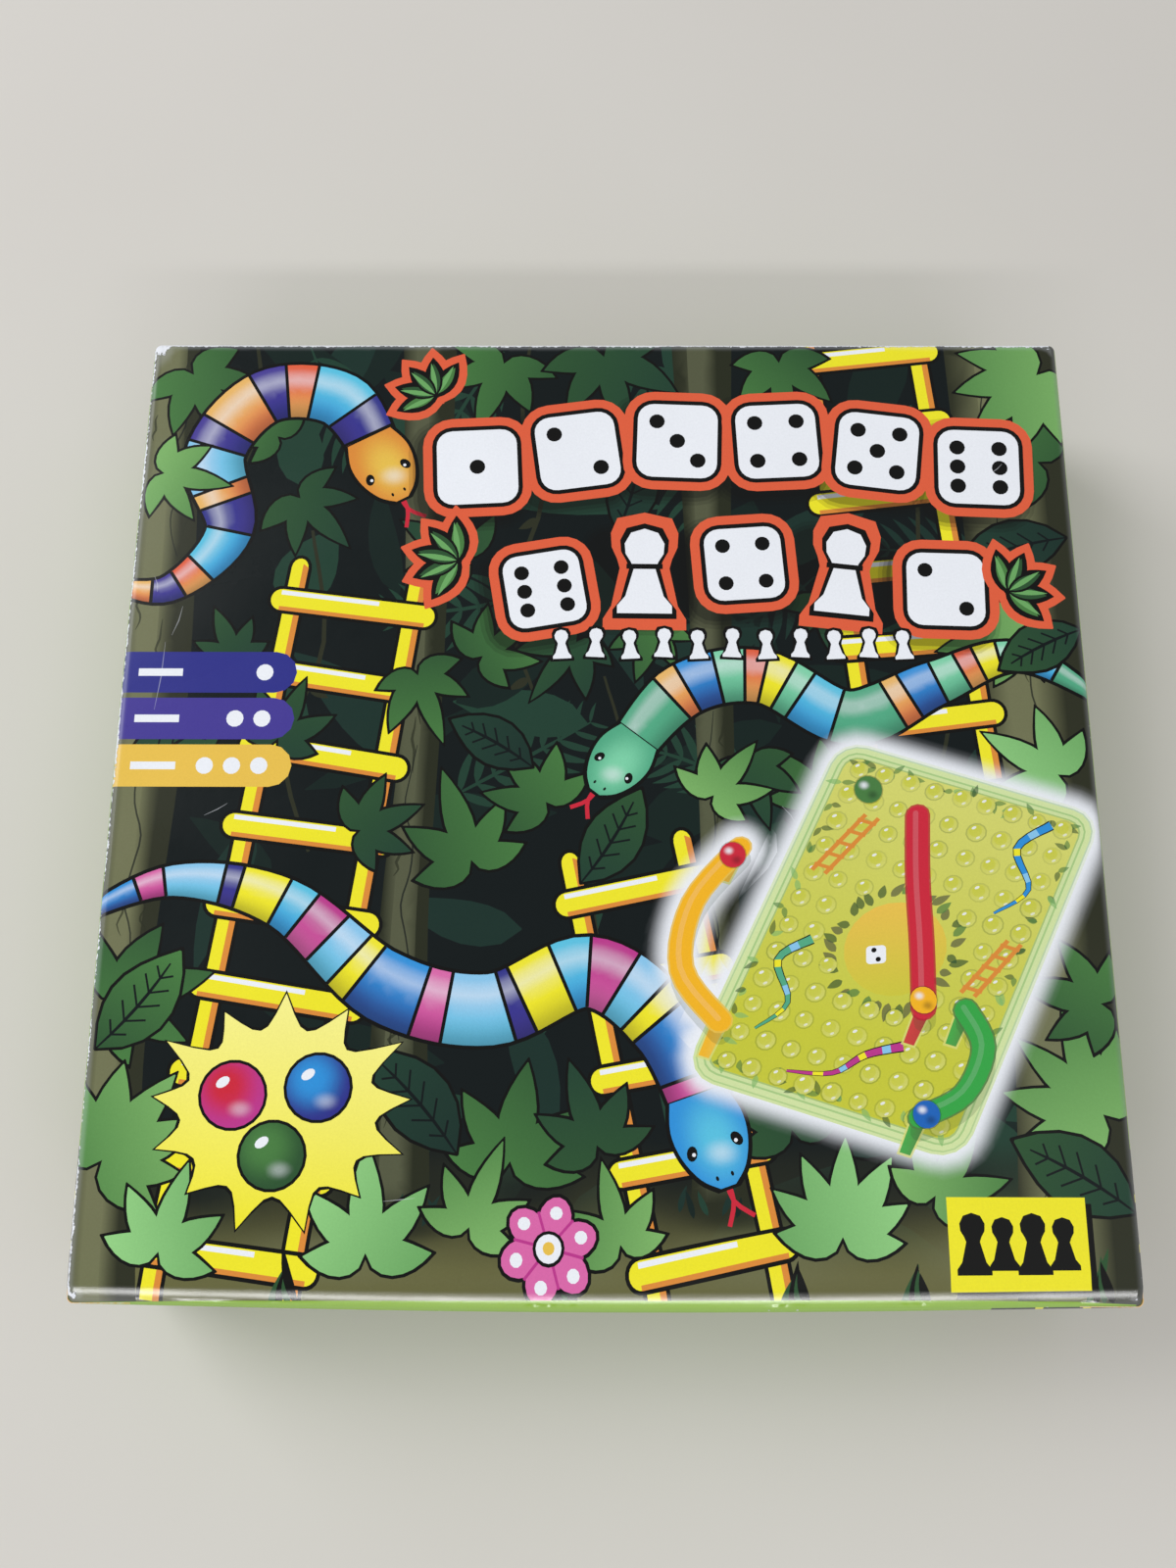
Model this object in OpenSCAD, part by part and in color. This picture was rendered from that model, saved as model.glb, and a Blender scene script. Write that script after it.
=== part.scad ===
// A boxed snakes and ladders game. A lift-off card box holds a card insert, and in it lie
// the dimpled playing board, three chutes with their posts, four balls, a die and the rules.
// Millimetres, +Z up. The origin is the centre of the box's underside, and +Y points away
// from whoever reads the lid. Every piece lies where it is packed when the box is closed.

/* [Box] */
// Height of the closed box
box_h = 52; // [48:1:70]
// Thickness of the greyboard
board_t = 1.6; // [1.2:0.1:2]
// Thickness of the printed paper that wraps the greyboard
wrap_t = 0.25; // [0.2:0.05:0.35]
// Width of the paper turned in over an open edge
hem_w = 15; // [8:1:20]
// Rounding of the box's upright corners
corner_r = 2; // [1:0.25:5]
// Running gap between the lid and the base, each side
lid_gap = 0.6; // [0.4:0.1:1]
// Height of the strip of base that shows below the lid
reveal_h = 3; // [1:0.5:8]
// Length of each arm of a corner stay
stay_w = 16; // [10:1:24]
// Thickness of a corner stay
stay_t = 0.2; // [0.1:0.05:0.3]

/* [Insert] */
// Thickness of the insert's card
card_t = 1; // [0.6:0.1:1.2]
// Gap between the insert and the walls of the base
insert_gap = 0.4; // [0.4:0.05:0.8]
// Rise of the divider above the deck
divider_h = 12; // [6:1:16]
// Gap all round the board in its bay
bay_gap = 1.5; // [0.5:0.25:4]
// Gap between the loose parts packed in the well
part_gap = 1.5; // [0.8:0.1:2]
// Gap between the highest packed part and the lid
lid_clear = 1.2; // [1:0.1:3]
// Width of the ledge at each end of the bay
ledge_w = 8.55; // [4:0.05:16]
// Room left beside the chutes and posts, at each side of the well
well_side = 3.8; // [1:0.1:12]

/* [Playing board] */
// Distance from one ball to the next in neighbouring dimples
ball_land = 3; // [2.6:0.1:6]
// Width of the rim at the board's two sides
rim_side_w = 10; // [6:0.5:16]
// Width of the rim at the board's near and far ends
rim_end_w = 12; // [6:0.5:18]
// Thickness of the rim
rim_t = 2; // [1.2:0.1:3]
// Thickness of the rim's skirt
skirt_t = 1.8; // [1.2:0.1:2.5]
// Rounding of the board's corners
rim_r = 14; // [6:1:20]
// Rounding of the corners of the rim's window
window_r = 4; // [2:0.5:6]
// Thickness of the clear sheet
sheet_t = 1.4; // [1:0.1:2]
// Depth of a ball dimple and of the die's dish
dimple_depth = 4; // [3:0.25:5]
// Radius of the die's dish
dish_r = 23; // [18:0.5:23]
// Land between the die's dish and the nearest dimples
dish_land = 0.8; // [0.4:0.1:2]
// Thickness of the printed playing sheet under the clear one
playfield_t = 1.2; // [0.6:0.1:2]
// Gap between the printed sheet and the pieces round it
bulge_gap = 0.3; // [0.2:0.05:0.6]
// Height of the skirt's edge below the playing sheet
foot_h = 0.6; // [0.4:0.1:1]
// Height of the two ribs beside the ball lane
rib_h = 2; // [1:0.25:2.5]
// Thickness of one of those ribs
rib_t = 0.7; // [0.5:0.1:0.8]
// Distance between the middles of the two ribs
rib_gap = 1.8; // [1.4:0.1:2]
// Height of a post socket above the clear sheet
socket_h = 5; // [4.5:0.25:6]
// Wall of a post socket
socket_t = 0.8; // [0.6:0.1:0.9]

/* [Chutes and posts] */
// Thickness of a chute's wall
chute_t = 1.6; // [1.2:0.1:2]
// Play of a ball in a chute, each side
chute_play = 0.8; // [0.5:0.1:1]
// Height of a chute's sides above the middle of its round floor
chute_rise = 3; // [1:0.25:5]
// Radius of the two curved chutes, to the middle of the channel
arc_r = 70; // [66:1:80]
// Length of a chute beyond the middle of each post
chute_end = 8; // [6:0.5:9]
// Height of the bosses under a chute
boss_h = 5; // [4:0.5:7]
// Wall of such a boss
boss_t = 1.5; // [1:0.1:2]
// Height of a tall post between its shoulders
tall_h = 40; // [30:1:48]
// Height of a short post between its shoulders
short_h = 20; // [12:1:26]
// Radius of a post's foot
foot_r = 6; // [5.5:0.1:6.5]
// Radius of a post's neck
neck_r = 3.6; // [3.2:0.1:4.5]
// Radius of the spigot that goes into a board socket
spigot_r = 4.4; // [3.6:0.1:4.4]
// Length of that spigot
spigot_h = 4.5; // [4:0.1:4.5]
// Radius of the peg that goes into a chute's boss
peg_r = 2.5; // [2:0.1:3]
// Length of that peg
peg_h = 4; // [3:0.25:4]
// Clearance of a spigot or a peg in its hole
plug_gap = 0.1; // [0.05:0.05:0.2]

/* [Balls, die and rules] */
// Diameter of a ball
ball_d = 15; // [13.5:0.25:18]
// Clearance of a ball over the bottom of its dimple
seat_gap = 0.3; // [0.3:0.05:0.4]
// Clearance of a ball at the mouth of its dimple
side_gap = 0.4; // [0.4:0.05:0.5]
// Edge of the die
die_w = 14; // [10:0.5:14.5]
// Radius of a pip
pip_r = 1.3; // [0.8:0.1:1.5]
// Deck left bare at each side of the folded rules
rules_side = 18.5; // [5:0.5:60]
// Deck left bare at each end of the folded rules
rules_end = 16.5; // [5:0.5:60]
// Thickness of one sheet of the rules
rules_t = 0.25; // [0.1:0.05:0.4]
// Gap between the two leaves of the rules
leaf_gap = 0.1; // [0.05:0.05:0.3]

/* [Hidden] */
$fn = 64;

// Length by which a cut runs past the face that it opens
over = 1;

// The playing board: a grid of dimples, with a dish for the die in the middle
column_count = 9;
row_count = 12;
pitch = ball_d + ball_land;
grid_w = column_count * pitch;
grid_d = row_count * pitch;
board_w = grid_w + 2 * rim_side_w;
board_d = grid_d + 2 * rim_end_w;
dimple_r = ball_d / 2 + side_gap;
dimple_up = dimple_r - dimple_depth;
mouth_r = sqrt(dimple_r * dimple_r - dimple_up * dimple_up);
sheet_bottom_z = foot_h + playfield_t + bulge_gap + sheet_t;
sheet_top_z = sheet_bottom_z + dimple_depth;
board_h = sheet_top_z + rim_t;
ball_top_z = sheet_bottom_z + seat_gap + ball_d;
lane_x = grid_w / 2 - pitch;
lane_row_shares = [1 / 12, 11 / 12];

// Where each chute's tall post and short post stand, as shares of the grid from its near
// left corner: yellow, green, red. All are corners of squares
tall_post_shares = [[2 / 9, 11 / 12], [1 / 9, 7 / 12], [7 / 9, 5 / 12]];
short_post_shares = [[6 / 9, 9 / 12], [3 / 9, 3 / 12], [4 / 9, 1 / 12]];
function grid_point(share) = [(share[0] - 1 / 2) * grid_w, (share[1] - 1 / 2) * grid_d];
function post_span(i) = norm(grid_point(tall_post_shares[i]) - grid_point(short_post_shares[i]));
socket_r = spigot_r + plug_gap;

// The chutes: their cross-section, their lengths and their angles
chute_in_r = ball_d / 2 + chute_play;
chute_out_r = chute_in_r + chute_t;
chute_mid_z = boss_h + chute_out_r;
boss_r = peg_r + plug_gap + boss_t;
straight_l = post_span(2) + 2 * chute_end;
arc_post_a = 2 * asin(post_span(0) / 2 / arc_r);
arc_end_a = chute_end / arc_r * 180 / PI;
arc_a = arc_post_a + 2 * arc_end_a;
arc_step = (2 * chute_out_r + part_gap) / cos(arc_a / 2);
arc_in_x = (arc_r - chute_out_r) * cos(arc_a / 2);
arc_pair_w = arc_r + chute_out_r - arc_in_x + arc_step;
arc_half_d = (arc_r + chute_out_r) * sin(arc_a / 2);
post_step = 2 * foot_r + part_gap;
near_parts_w = 2 * chute_out_r + 3 * post_step;
near_parts_d = max(straight_l, 2 * (spigot_h + peg_h) + tall_h + part_gap + short_h);

// The insert: a bay for the board beside a well for the loose parts
bay_w = board_w + 2 * bay_gap;
bay_d = board_d + 2 * bay_gap;
divider_x = card_t + bay_w;
well_x = divider_x + 2 * card_t;
well_w = max(arc_pair_w, near_parts_w) + 2 * well_side;
insert_w = well_x + well_w + card_t;
insert_d = max(bay_d + 2 * ledge_w, near_parts_d + 2 * arc_half_d + 3 * part_gap);
end_ledge_w = (insert_d - bay_d) / 2;

// The base round the insert: inside, over its greyboard, and outside over its paper
base_in_w = insert_w + 2 * insert_gap;
base_in_d = insert_d + 2 * insert_gap;
base_board_w = base_in_w + 2 * board_t;
base_board_d = base_in_d + 2 * board_t;
base_w = base_board_w + 2 * wrap_t;
base_d = base_board_d + 2 * wrap_t;

// The lid round the base, and the closed box over it
lid_in_w = base_w + 2 * (lid_gap + wrap_t);
lid_in_d = base_d + 2 * (lid_gap + wrap_t);
lid_board_w = lid_in_w + 2 * board_t;
lid_board_d = lid_in_d + 2 * board_t;
box_w = lid_board_w + 2 * wrap_t;
box_d = lid_board_d + 2 * wrap_t;
board_corner_r = corner_r - wrap_t;

// Levels in the box: the lid's edge and underside, the base's top and floor, the deck
lid_edge_z = reveal_h + wrap_t;
lid_under_z = box_h - wrap_t - board_t;
base_top_z = lid_under_z - wrap_t;
floor_z = wrap_t + board_t;
rules_stack = 2 * rules_t + leaf_gap;
deck_z = lid_under_z - lid_clear - ball_top_z - rules_stack;
deck_h = deck_z - floor_z;
well_z = floor_z + card_t;

// Places of the board, of the parts in the well and of the rules
board_x = -insert_w / 2 + card_t + bay_w / 2;
board_z = deck_z + rules_stack;
well_left = -insert_w / 2 + well_x;
arc_left = well_left + (well_w - arc_pair_w) / 2;
arc_y = insert_d / 2 - part_gap - arc_half_d;
near_left = well_left + (well_w - near_parts_w) / 2;
near_y = -insert_d / 2 + part_gap;
rules_w = bay_w - 2 * rules_side;
rules_d = bay_d - 2 * rules_end;

// The posts' places beside the straight chute
post_x = near_left + 2 * chute_out_r + part_gap + foot_r;
short_y = near_y + spigot_h + tall_h + peg_h + part_gap;

// The die's pips: where those of each number lie, as shares of the die's edge
pip_shares = [
    [[0, 0]],
    [[-0.25, -0.25], [0.25, 0.25]],
    [[-0.25, -0.25], [0, 0], [0.25, 0.25]],
    [[-0.25, -0.25], [-0.25, 0.25], [0.25, -0.25], [0.25, 0.25]],
    [[-0.25, -0.25], [-0.25, 0.25], [0, 0], [0.25, -0.25], [0.25, 0.25]],
    [[-0.25, -0.25], [-0.25, 0], [-0.25, 0.25], [0.25, -0.25], [0.25, 0], [0.25, 0.25]]
];
die_turns = [[0, 0, 0], [90, 0, 0], [0, 90, 0], [0, -90, 0], [-90, 0, 0], [180, 0, 0]];
die_round_share = 0.74;
pip_sink_share = 0.7;

// A rectangle with rounded corners about the origin
module rounded(w, d, r) {
    square([w - 2 * r, d], center = true);
    square([w, d - 2 * r], center = true);
    for (x = [-1, 1], y = [-1, 1])
        translate([x * (w / 2 - r), y * (d / 2 - r)]) circle(r);
}

// A band of thickness t just inside such a rectangle
module band(w, d, r, t) {
    difference() {
        rounded(w, d, r);
        rounded(w - 2 * t, d - 2 * t, r - t);
    }
}

// A band of thickness t just inside a rectangle with sharp corners
module frame_band(w, d, t) {
    difference() {
        square([w, d], center = true);
        square([w - 2 * t, d - 2 * t], center = true);
    }
}

// The four paper stays that tie the greyboard's upright corners
module stays(w, d) {
    intersection() {
        band(w, d, board_corner_r, stay_t);
        for (x = [-1, 1], y = [-1, 1])
            translate([x * (w - stay_w) / 2, y * (d - stay_w) / 2])
                square(stay_w, center = true);
    }
}

// The greyboard walls, with a rebate at each corner for its stay
module board_walls(w, d) {
    difference() {
        rounded(w, d, board_corner_r);
        square([w - 2 * board_t, d - 2 * board_t], center = true);
        stays(w, d);
    }
}

// A layer from level z0 up to level z1
module layer(z0, z1) {
    translate([0, 0, z0]) linear_extrude(z1 - z0) children();
}

module lid_board() {
    color("#b9b4a6") {
        layer(lid_edge_z, lid_under_z) board_walls(lid_board_w, lid_board_d);
        layer(lid_under_z, box_h - wrap_t) rounded(lid_board_w, lid_board_d, board_corner_r);
    }
}

// The printed paper over the lid, turned in over its open edge
module lid_wrap() {
    color("#1d3a2c") {
        layer(box_h - wrap_t, box_h) rounded(box_w, box_d, corner_r);
        layer(reveal_h, box_h - wrap_t) band(box_w, box_d, corner_r, wrap_t);
        layer(reveal_h, lid_edge_z) difference() {
            rounded(lid_board_w, lid_board_d, board_corner_r);
            square([lid_in_w - 2 * wrap_t, lid_in_d - 2 * wrap_t], center = true);
        }
        layer(reveal_h, reveal_h + hem_w) frame_band(lid_in_w, lid_in_d, wrap_t);
    }
}

module lid_corner_stays() {
    color("#d8c9a0") layer(lid_edge_z, lid_under_z) stays(lid_board_w, lid_board_d);
}

module base_board() {
    color("#aaa597") {
        layer(wrap_t, floor_z) rounded(base_board_w, base_board_d, board_corner_r);
        layer(floor_z, base_top_z) board_walls(base_board_w, base_board_d);
    }
}

// The plain green paper round the base, turned in over its open edge
module base_wrap() {
    color("#8fbf2c") {
        layer(wrap_t, lid_under_z) band(base_w, base_d, corner_r, wrap_t);
        layer(base_top_z, lid_under_z) difference() {
            rounded(base_board_w, base_board_d, board_corner_r);
            square([base_in_w - 2 * wrap_t, base_in_d - 2 * wrap_t], center = true);
        }
        layer(lid_under_z - hem_w, lid_under_z) frame_band(base_in_w, base_in_d, wrap_t);
    }
}

module base_bottom_sheet() {
    color("#e9e7df") layer(0, wrap_t) rounded(base_w, base_d, corner_r);
}

module base_corner_stays() {
    color("#d8c9a0") layer(floor_z, base_top_z) stays(base_board_w, base_board_d);
}

// The folded card: a raised deck for the board at the left, with a ledge at each end, and
// a well for the loose parts at the right, parted by a doubled divider
module card_insert() {
    end_y = insert_d / 2;
    right_x = insert_w - card_t;
    color("#f2f1ec") translate([-insert_w / 2, 0, floor_z]) {
        translate([0, end_y, 0]) rotate([90, 0, 0]) linear_extrude(insert_d) {
            square([card_t, deck_h]);
            translate([0, deck_h - card_t]) square([divider_x, card_t]);
            translate([divider_x, 0]) square([2 * card_t, deck_h + divider_h]);
            translate([divider_x, 0]) square([insert_w - divider_x, card_t]);
            translate([right_x, 0]) square([card_t, deck_h]);
        }
        for (side = [0, 1]) mirror([0, side, 0]) translate([0, bay_d / 2, deck_h]) {
            cube([divider_x, card_t, board_h]);
            translate([0, 0, board_h - card_t]) cube([divider_x, end_ledge_w, card_t]);
        }
    }
}

// Puts its children on the board's place in the box
module on_board() {
    translate([board_x, 0, board_z]) children();
}

module board_frame() {
    color("#a8d96a") on_board() difference() {
        layer(0, board_h) rounded(board_w, board_d, rim_r);
        layer(-over, board_h - rim_t)
            rounded(board_w - 2 * skirt_t, board_d - 2 * skirt_t, rim_r - skirt_t);
        layer(0, board_h + over) rounded(grid_w, grid_d, window_r);
    }
}

// The middles of the dimples, all but those that the die's dish takes
function dimple_points() = [
    for (i = [0 : column_count - 1], j = [0 : row_count - 1])
        let (p = grid_point([(i + 1 / 2) / column_count, (j + 1 / 2) / row_count]))
            if (norm(p) > dish_r + sheet_t + mouth_r + dish_land) p
];

// The clear sheet: a dimple for a ball on every square, a flat dish for the die, and the
// doubled rib that parts the ball lane from the squares
module dimple_sheet() {
    rib_y = grid_d * lane_row_shares[0] - grid_d / 2;
    rib_l = grid_d * (lane_row_shares[1] - lane_row_shares[0]);
    plate_z = sheet_top_z - sheet_t;
    color("#e4f3ee", 0.6) on_board() {
        difference() {
            union() {
                layer(plate_z, sheet_top_z)
                    rounded(board_w - 2 * skirt_t, board_d - 2 * skirt_t, rim_r - skirt_t);
                intersection() {
                    for (p = dimple_points())
                        translate([p[0], p[1], sheet_bottom_z + dimple_r])
                            sphere(dimple_r + sheet_t);
                    layer(0, sheet_top_z) square([grid_w, grid_d], center = true);
                }
                layer(sheet_bottom_z - sheet_t, sheet_top_z) circle(dish_r + sheet_t);
            }
            for (p = dimple_points())
                translate([p[0], p[1], sheet_bottom_z + dimple_r]) sphere(dimple_r);
            layer(sheet_bottom_z, sheet_top_z + over) circle(dish_r);
        }
        for (side = [-1, 1])
            translate([lane_x + (side * rib_gap - rib_t) / 2, rib_y, sheet_top_z])
                cube([rib_t, rib_l, rib_h]);
    }
}

// The ring sockets that the posts plug into, one where four squares meet
module post_sockets() {
    color("#dcefe8", 0.7) on_board() for (share = concat(tall_post_shares, short_post_shares))
        translate(grid_point(share)) layer(sheet_top_z, sheet_top_z + socket_h) difference() {
            circle(socket_r + socket_t);
            circle(socket_r);
        }
}

module playfield_card() {
    edge_gap = skirt_t + bulge_gap;
    color("#c6dd3a") on_board() layer(foot_h, foot_h + playfield_t)
        rounded(board_w - 2 * edge_gap, board_d - 2 * edge_gap, rim_r - edge_gap);
}

// Cross-section of a chute, and of its channel, about the middle of the channel
module chute_outside() {
    difference() {
        union() {
            circle(chute_out_r);
            translate([-chute_out_r, 0]) square([2 * chute_out_r, chute_rise]);
        }
        translate([-chute_out_r, chute_rise]) square(2 * chute_out_r);
    }
}

module chute_channel() {
    circle(chute_in_r);
    translate([-chute_in_r, 0]) square([2 * chute_in_r, chute_out_r]);
}

module boss() {
    cylinder(r = boss_r, h = chute_mid_z);
}

module boss_hole() {
    translate([0, 0, -over]) cylinder(r = peg_r + plug_gap, h = boss_h + over);
}

// A curved chute, curved about the origin, with a boss for a post under each end
module curved_chute() {
    difference() {
        union() {
            rotate([0, 0, -arc_a / 2]) rotate_extrude(angle = arc_a)
                translate([arc_r, chute_mid_z]) chute_outside();
            for (side = [-1, 1])
                rotate([0, 0, side * arc_post_a / 2]) translate([arc_r, 0, 0]) boss();
        }
        rotate([0, 0, -arc_a]) rotate_extrude(angle = 2 * arc_a)
            translate([arc_r, chute_mid_z]) chute_channel();
        for (side = [-1, 1])
            rotate([0, 0, side * arc_post_a / 2]) translate([arc_r, 0, 0]) boss_hole();
    }
}

// Puts curved chute number i in the well
module in_arc_place(i) {
    translate([arc_left - arc_in_x + i * arc_step, arc_y, well_z]) children();
}

module yellow_curved_chute() {
    color("#f5c518") in_arc_place(0) curved_chute();
}

module green_curved_chute() {
    color("#3fae3c") in_arc_place(1) curved_chute();
}

module red_straight_chute() {
    place_x = near_left + chute_out_r;
    color("#d8282a") translate([place_x, near_y, well_z]) difference() {
        union() {
            translate([0, straight_l, chute_mid_z]) rotate([90, 0, 0])
                linear_extrude(straight_l) chute_outside();
            for (y = [chute_end, straight_l - chute_end]) translate([0, y, 0]) boss();
        }
        translate([0, straight_l + over, chute_mid_z]) rotate([90, 0, 0])
            linear_extrude(straight_l + 2 * over) chute_channel();
        for (y = [chute_end, straight_l - chute_end]) translate([0, y, 0]) boss_hole();
    }
}

// A post of height h between its shoulders, standing on its spigot
module post(h) {
    cylinder(r = spigot_r, h = spigot_h);
    translate([0, 0, spigot_h]) cylinder(r1 = foot_r, r2 = neck_r, h = h);
    translate([0, 0, spigot_h + h]) cylinder(r = peg_r, h = peg_h);
}

// Lays a post down in place number i of its row, with its spigot end at level y
module lying(i, y) {
    translate([post_x + i * post_step, y, well_z + foot_r + seat_gap])
        rotate([-90, 0, 0]) children();
}

module yellow_tall_post() {
    color("#f5c518") lying(0, near_y) post(tall_h);
}

module green_tall_post() {
    color("#3fae3c") lying(1, near_y) post(tall_h);
}

module red_tall_post() {
    color("#d8282a") lying(2, near_y) post(tall_h);
}

module yellow_short_post() {
    color("#f5c518") lying(0, short_y) post(short_h);
}

module green_short_post() {
    color("#3fae3c") lying(1, short_y) post(short_h);
}

module red_short_post() {
    color("#d8282a") lying(2, short_y) post(short_h);
}

// A ball in dimple number i of the lane, counted from the near end
module lane_ball(i) {
    p = grid_point([1 - 1 / 2 / column_count, (i + 1 / 2) / row_count]);
    on_board() translate([p[0], p[1], sheet_bottom_z + seat_gap + ball_d / 2])
        sphere(ball_d / 2);
}

module red_ball() {
    color("#d11f26") lane_ball(0);
}

module yellow_ball() {
    color("#f6a81c") lane_ball(1);
}

module blue_ball() {
    color("#1f5fc4") lane_ball(2);
}

module green_ball() {
    color("#2f9e3a") lane_ball(3);
}

module die() {
    color("#f7f7f4") on_board() translate([0, 0, sheet_bottom_z + die_w / 2])
        difference() {
            intersection() {
                cube(die_w, center = true);
                sphere(die_w * die_round_share);
            }
            for (face = [0 : len(pip_shares) - 1]) rotate(die_turns[face])
                for (share = pip_shares[face])
                    translate([share[0] * die_w, share[1] * die_w,
                               die_w / 2 + pip_r * pip_sink_share])
                        sphere(pip_r);
        }
}

// The folded rules, lying on the deck under the board
module rules_leaflet() {
    color("#fbfaf5") translate([board_x - rules_w / 2, rules_d / 2, deck_z])
        rotate([90, 0, 0]) linear_extrude(rules_d) {
            square([rules_w, rules_t]);
            translate([0, rules_t + leaf_gap]) square([rules_w, rules_t]);
            square([rules_t, rules_stack]);
        }
}

lid_board();
lid_wrap();
lid_corner_stays();
base_board();
base_wrap();
base_bottom_sheet();
base_corner_stays();
card_insert();
board_frame();
dimple_sheet();
post_sockets();
playfield_card();
yellow_curved_chute();
green_curved_chute();
red_straight_chute();
yellow_tall_post();
green_tall_post();
red_tall_post();
yellow_short_post();
green_short_post();
red_short_post();
red_ball();
yellow_ball();
blue_ball();
green_ball();
die();
rules_leaflet();
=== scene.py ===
import logging
import math
import random
from dataclasses import dataclass, field
from enum import Enum
from typing import Callable, Sequence

import bmesh
import bpy
from bmesh.types import BMEdge, BMesh, BMFace, BMVert
from bpy.types import ID, Material, Node, NodeSocket, NodeTree, Object
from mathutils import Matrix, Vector
from mathutils.geometry import delaunay_2d_cdt


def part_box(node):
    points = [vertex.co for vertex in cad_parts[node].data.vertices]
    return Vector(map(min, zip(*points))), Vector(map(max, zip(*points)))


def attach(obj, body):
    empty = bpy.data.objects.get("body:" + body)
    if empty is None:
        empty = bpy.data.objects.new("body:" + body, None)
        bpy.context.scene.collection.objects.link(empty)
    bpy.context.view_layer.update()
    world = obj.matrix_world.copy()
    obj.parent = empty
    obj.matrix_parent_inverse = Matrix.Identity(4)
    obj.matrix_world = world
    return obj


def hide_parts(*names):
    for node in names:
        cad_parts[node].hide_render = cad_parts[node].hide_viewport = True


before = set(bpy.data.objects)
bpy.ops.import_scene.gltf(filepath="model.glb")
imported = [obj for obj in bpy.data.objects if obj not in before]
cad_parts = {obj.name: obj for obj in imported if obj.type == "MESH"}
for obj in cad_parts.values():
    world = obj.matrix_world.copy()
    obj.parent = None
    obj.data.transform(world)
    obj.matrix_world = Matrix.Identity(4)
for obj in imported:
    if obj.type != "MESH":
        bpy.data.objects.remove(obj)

# Lengths are in millimetres and angles in radians, unless a name or a docstring says otherwise.
# UP and ALL_ROUND are rounded: they only aim leaves.
LOG = logging.getLogger("boxed_game")
MM = 0.001
QUARTER = math.pi / 2
UP = 1.57
ALL_ROUND = 6.28
Point = tuple[float, float]
Outline = list[Point]
Line = Sequence[Point]
Rgb = tuple[float, float, float]
Rgba = tuple[float, float, float, float]
Place = tuple[Point, Point, float]


class Ink(Enum):
    """Inks and stock colours, as written on a colour chart."""

    NIGHT = "#0b1416"
    DEEP = "#10211e"
    SHADE = "#18302a"
    BOTTLE = "#1f3e31"
    LEAF_DARK = "#2c5231"
    LEAF = "#487c42"
    LEAF_LIGHT = "#6aa562"
    LEAF_PALE = "#7fb56a"
    LEAF_BRIGHT = "#93cf86"
    BARK_DARK = "#2b2e20"
    BARK = "#545842"
    BARK_LIGHT = "#6f7253"
    GROUND = "#65653f"
    GROUND_DARK = "#262a1c"
    BLACK = "#0a0b0b"
    WHITE = "#e9edf5"
    YELLOW = "#ece42b"
    YELLOW_PALE = "#f7f3a0"
    AMBER = "#e5be4f"
    ORANGE = "#d98a3a"
    CORAL = "#dd5f3f"
    RED = "#c8283c"
    PINK = "#d667a8"
    MAGENTA = "#b8388b"
    PURPLE = "#443a93"
    INDIGO = "#2e3187"
    BLUE = "#2f8fd8"
    SKY = "#86c3ea"
    CYAN = "#58bfe0"
    JADE = "#52a884"
    MINT = "#7ccfa8"
    SAND = "#e6b465"
    LIME = "#88b31f"
    LIME_SHADE = "#6f9a18"
    FIELD = "#c3c63c"
    FIELD_PALE = "#d5d77a"
    RIM = "#cfe0a4"
    CARD = "#dcdad2"
    CARD_LOW = "#e6e2d6"
    CARD_WHITE = "#f0ede4"
    LIME_LOW = "#7da61c"
    GREY_BOARD = "#9a948a"
    GREY_BOARD_LOW = "#8b857b"
    FRAME = "#b6dc78"
    FRAME_LOW = "#b1d972"
    CLEAR = "#fcfffd"
    CLEAR_LOW = "#f6fbf8"
    PLASTIC_YELLOW = "#f0b323"
    PLASTIC_GREEN = "#35a347"
    PLASTIC_BLUE = "#1d63b8"
    CRIMSON = "#b11f34"

    def linear(self) -> Rgb:
        """The ink in linear light.

        Returns:
            Its red, green and blue.
        """
        code = self.value.lstrip("#")
        parts = [int(code[i : i + 2], 16) / 255 for i in (0, 2, 4)]
        return tuple(p / 12.92 if p <= 0.04045 else ((p + 0.055) / 1.055) ** 2.4 for p in parts)

    @property
    def rgba(self) -> Rgba:
        """The ink in linear light, opaque."""
        return (*self.linear(), 1.0)


PALER = {
    Ink.LEAF_LIGHT: Ink.LEAF_BRIGHT, Ink.LEAF: Ink.LEAF_PALE, Ink.LEAF_DARK: Ink.LEAF,
    Ink.BOTTLE: Ink.LEAF_DARK, Ink.SHADE: Ink.BOTTLE, Ink.DEEP: Ink.SHADE,
}
DEEPER = {
    Ink.SAND: Ink.CORAL, Ink.CORAL: Ink.SAND, Ink.PURPLE: Ink.INDIGO, Ink.INDIGO: Ink.PURPLE, Ink.CYAN: Ink.BLUE,
    Ink.SKY: Ink.CYAN, Ink.MINT: Ink.JADE, Ink.PINK: Ink.MAGENTA, Ink.MAGENTA: Ink.PINK, Ink.BLUE: Ink.INDIGO,
}


def blend_rgb(a: Rgb, b: Rgb, share: float) -> Rgb:
    """Mixes two colours.

    Args:
        a: The colour at share 0.
        b: The colour at share 1.
        share: How much of b, from 0 to 1.

    Returns:
        The mixed colour.
    """
    return tuple(x + (y - x) * share for x, y in zip(a, b))


Band = tuple[Ink, float]


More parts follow.
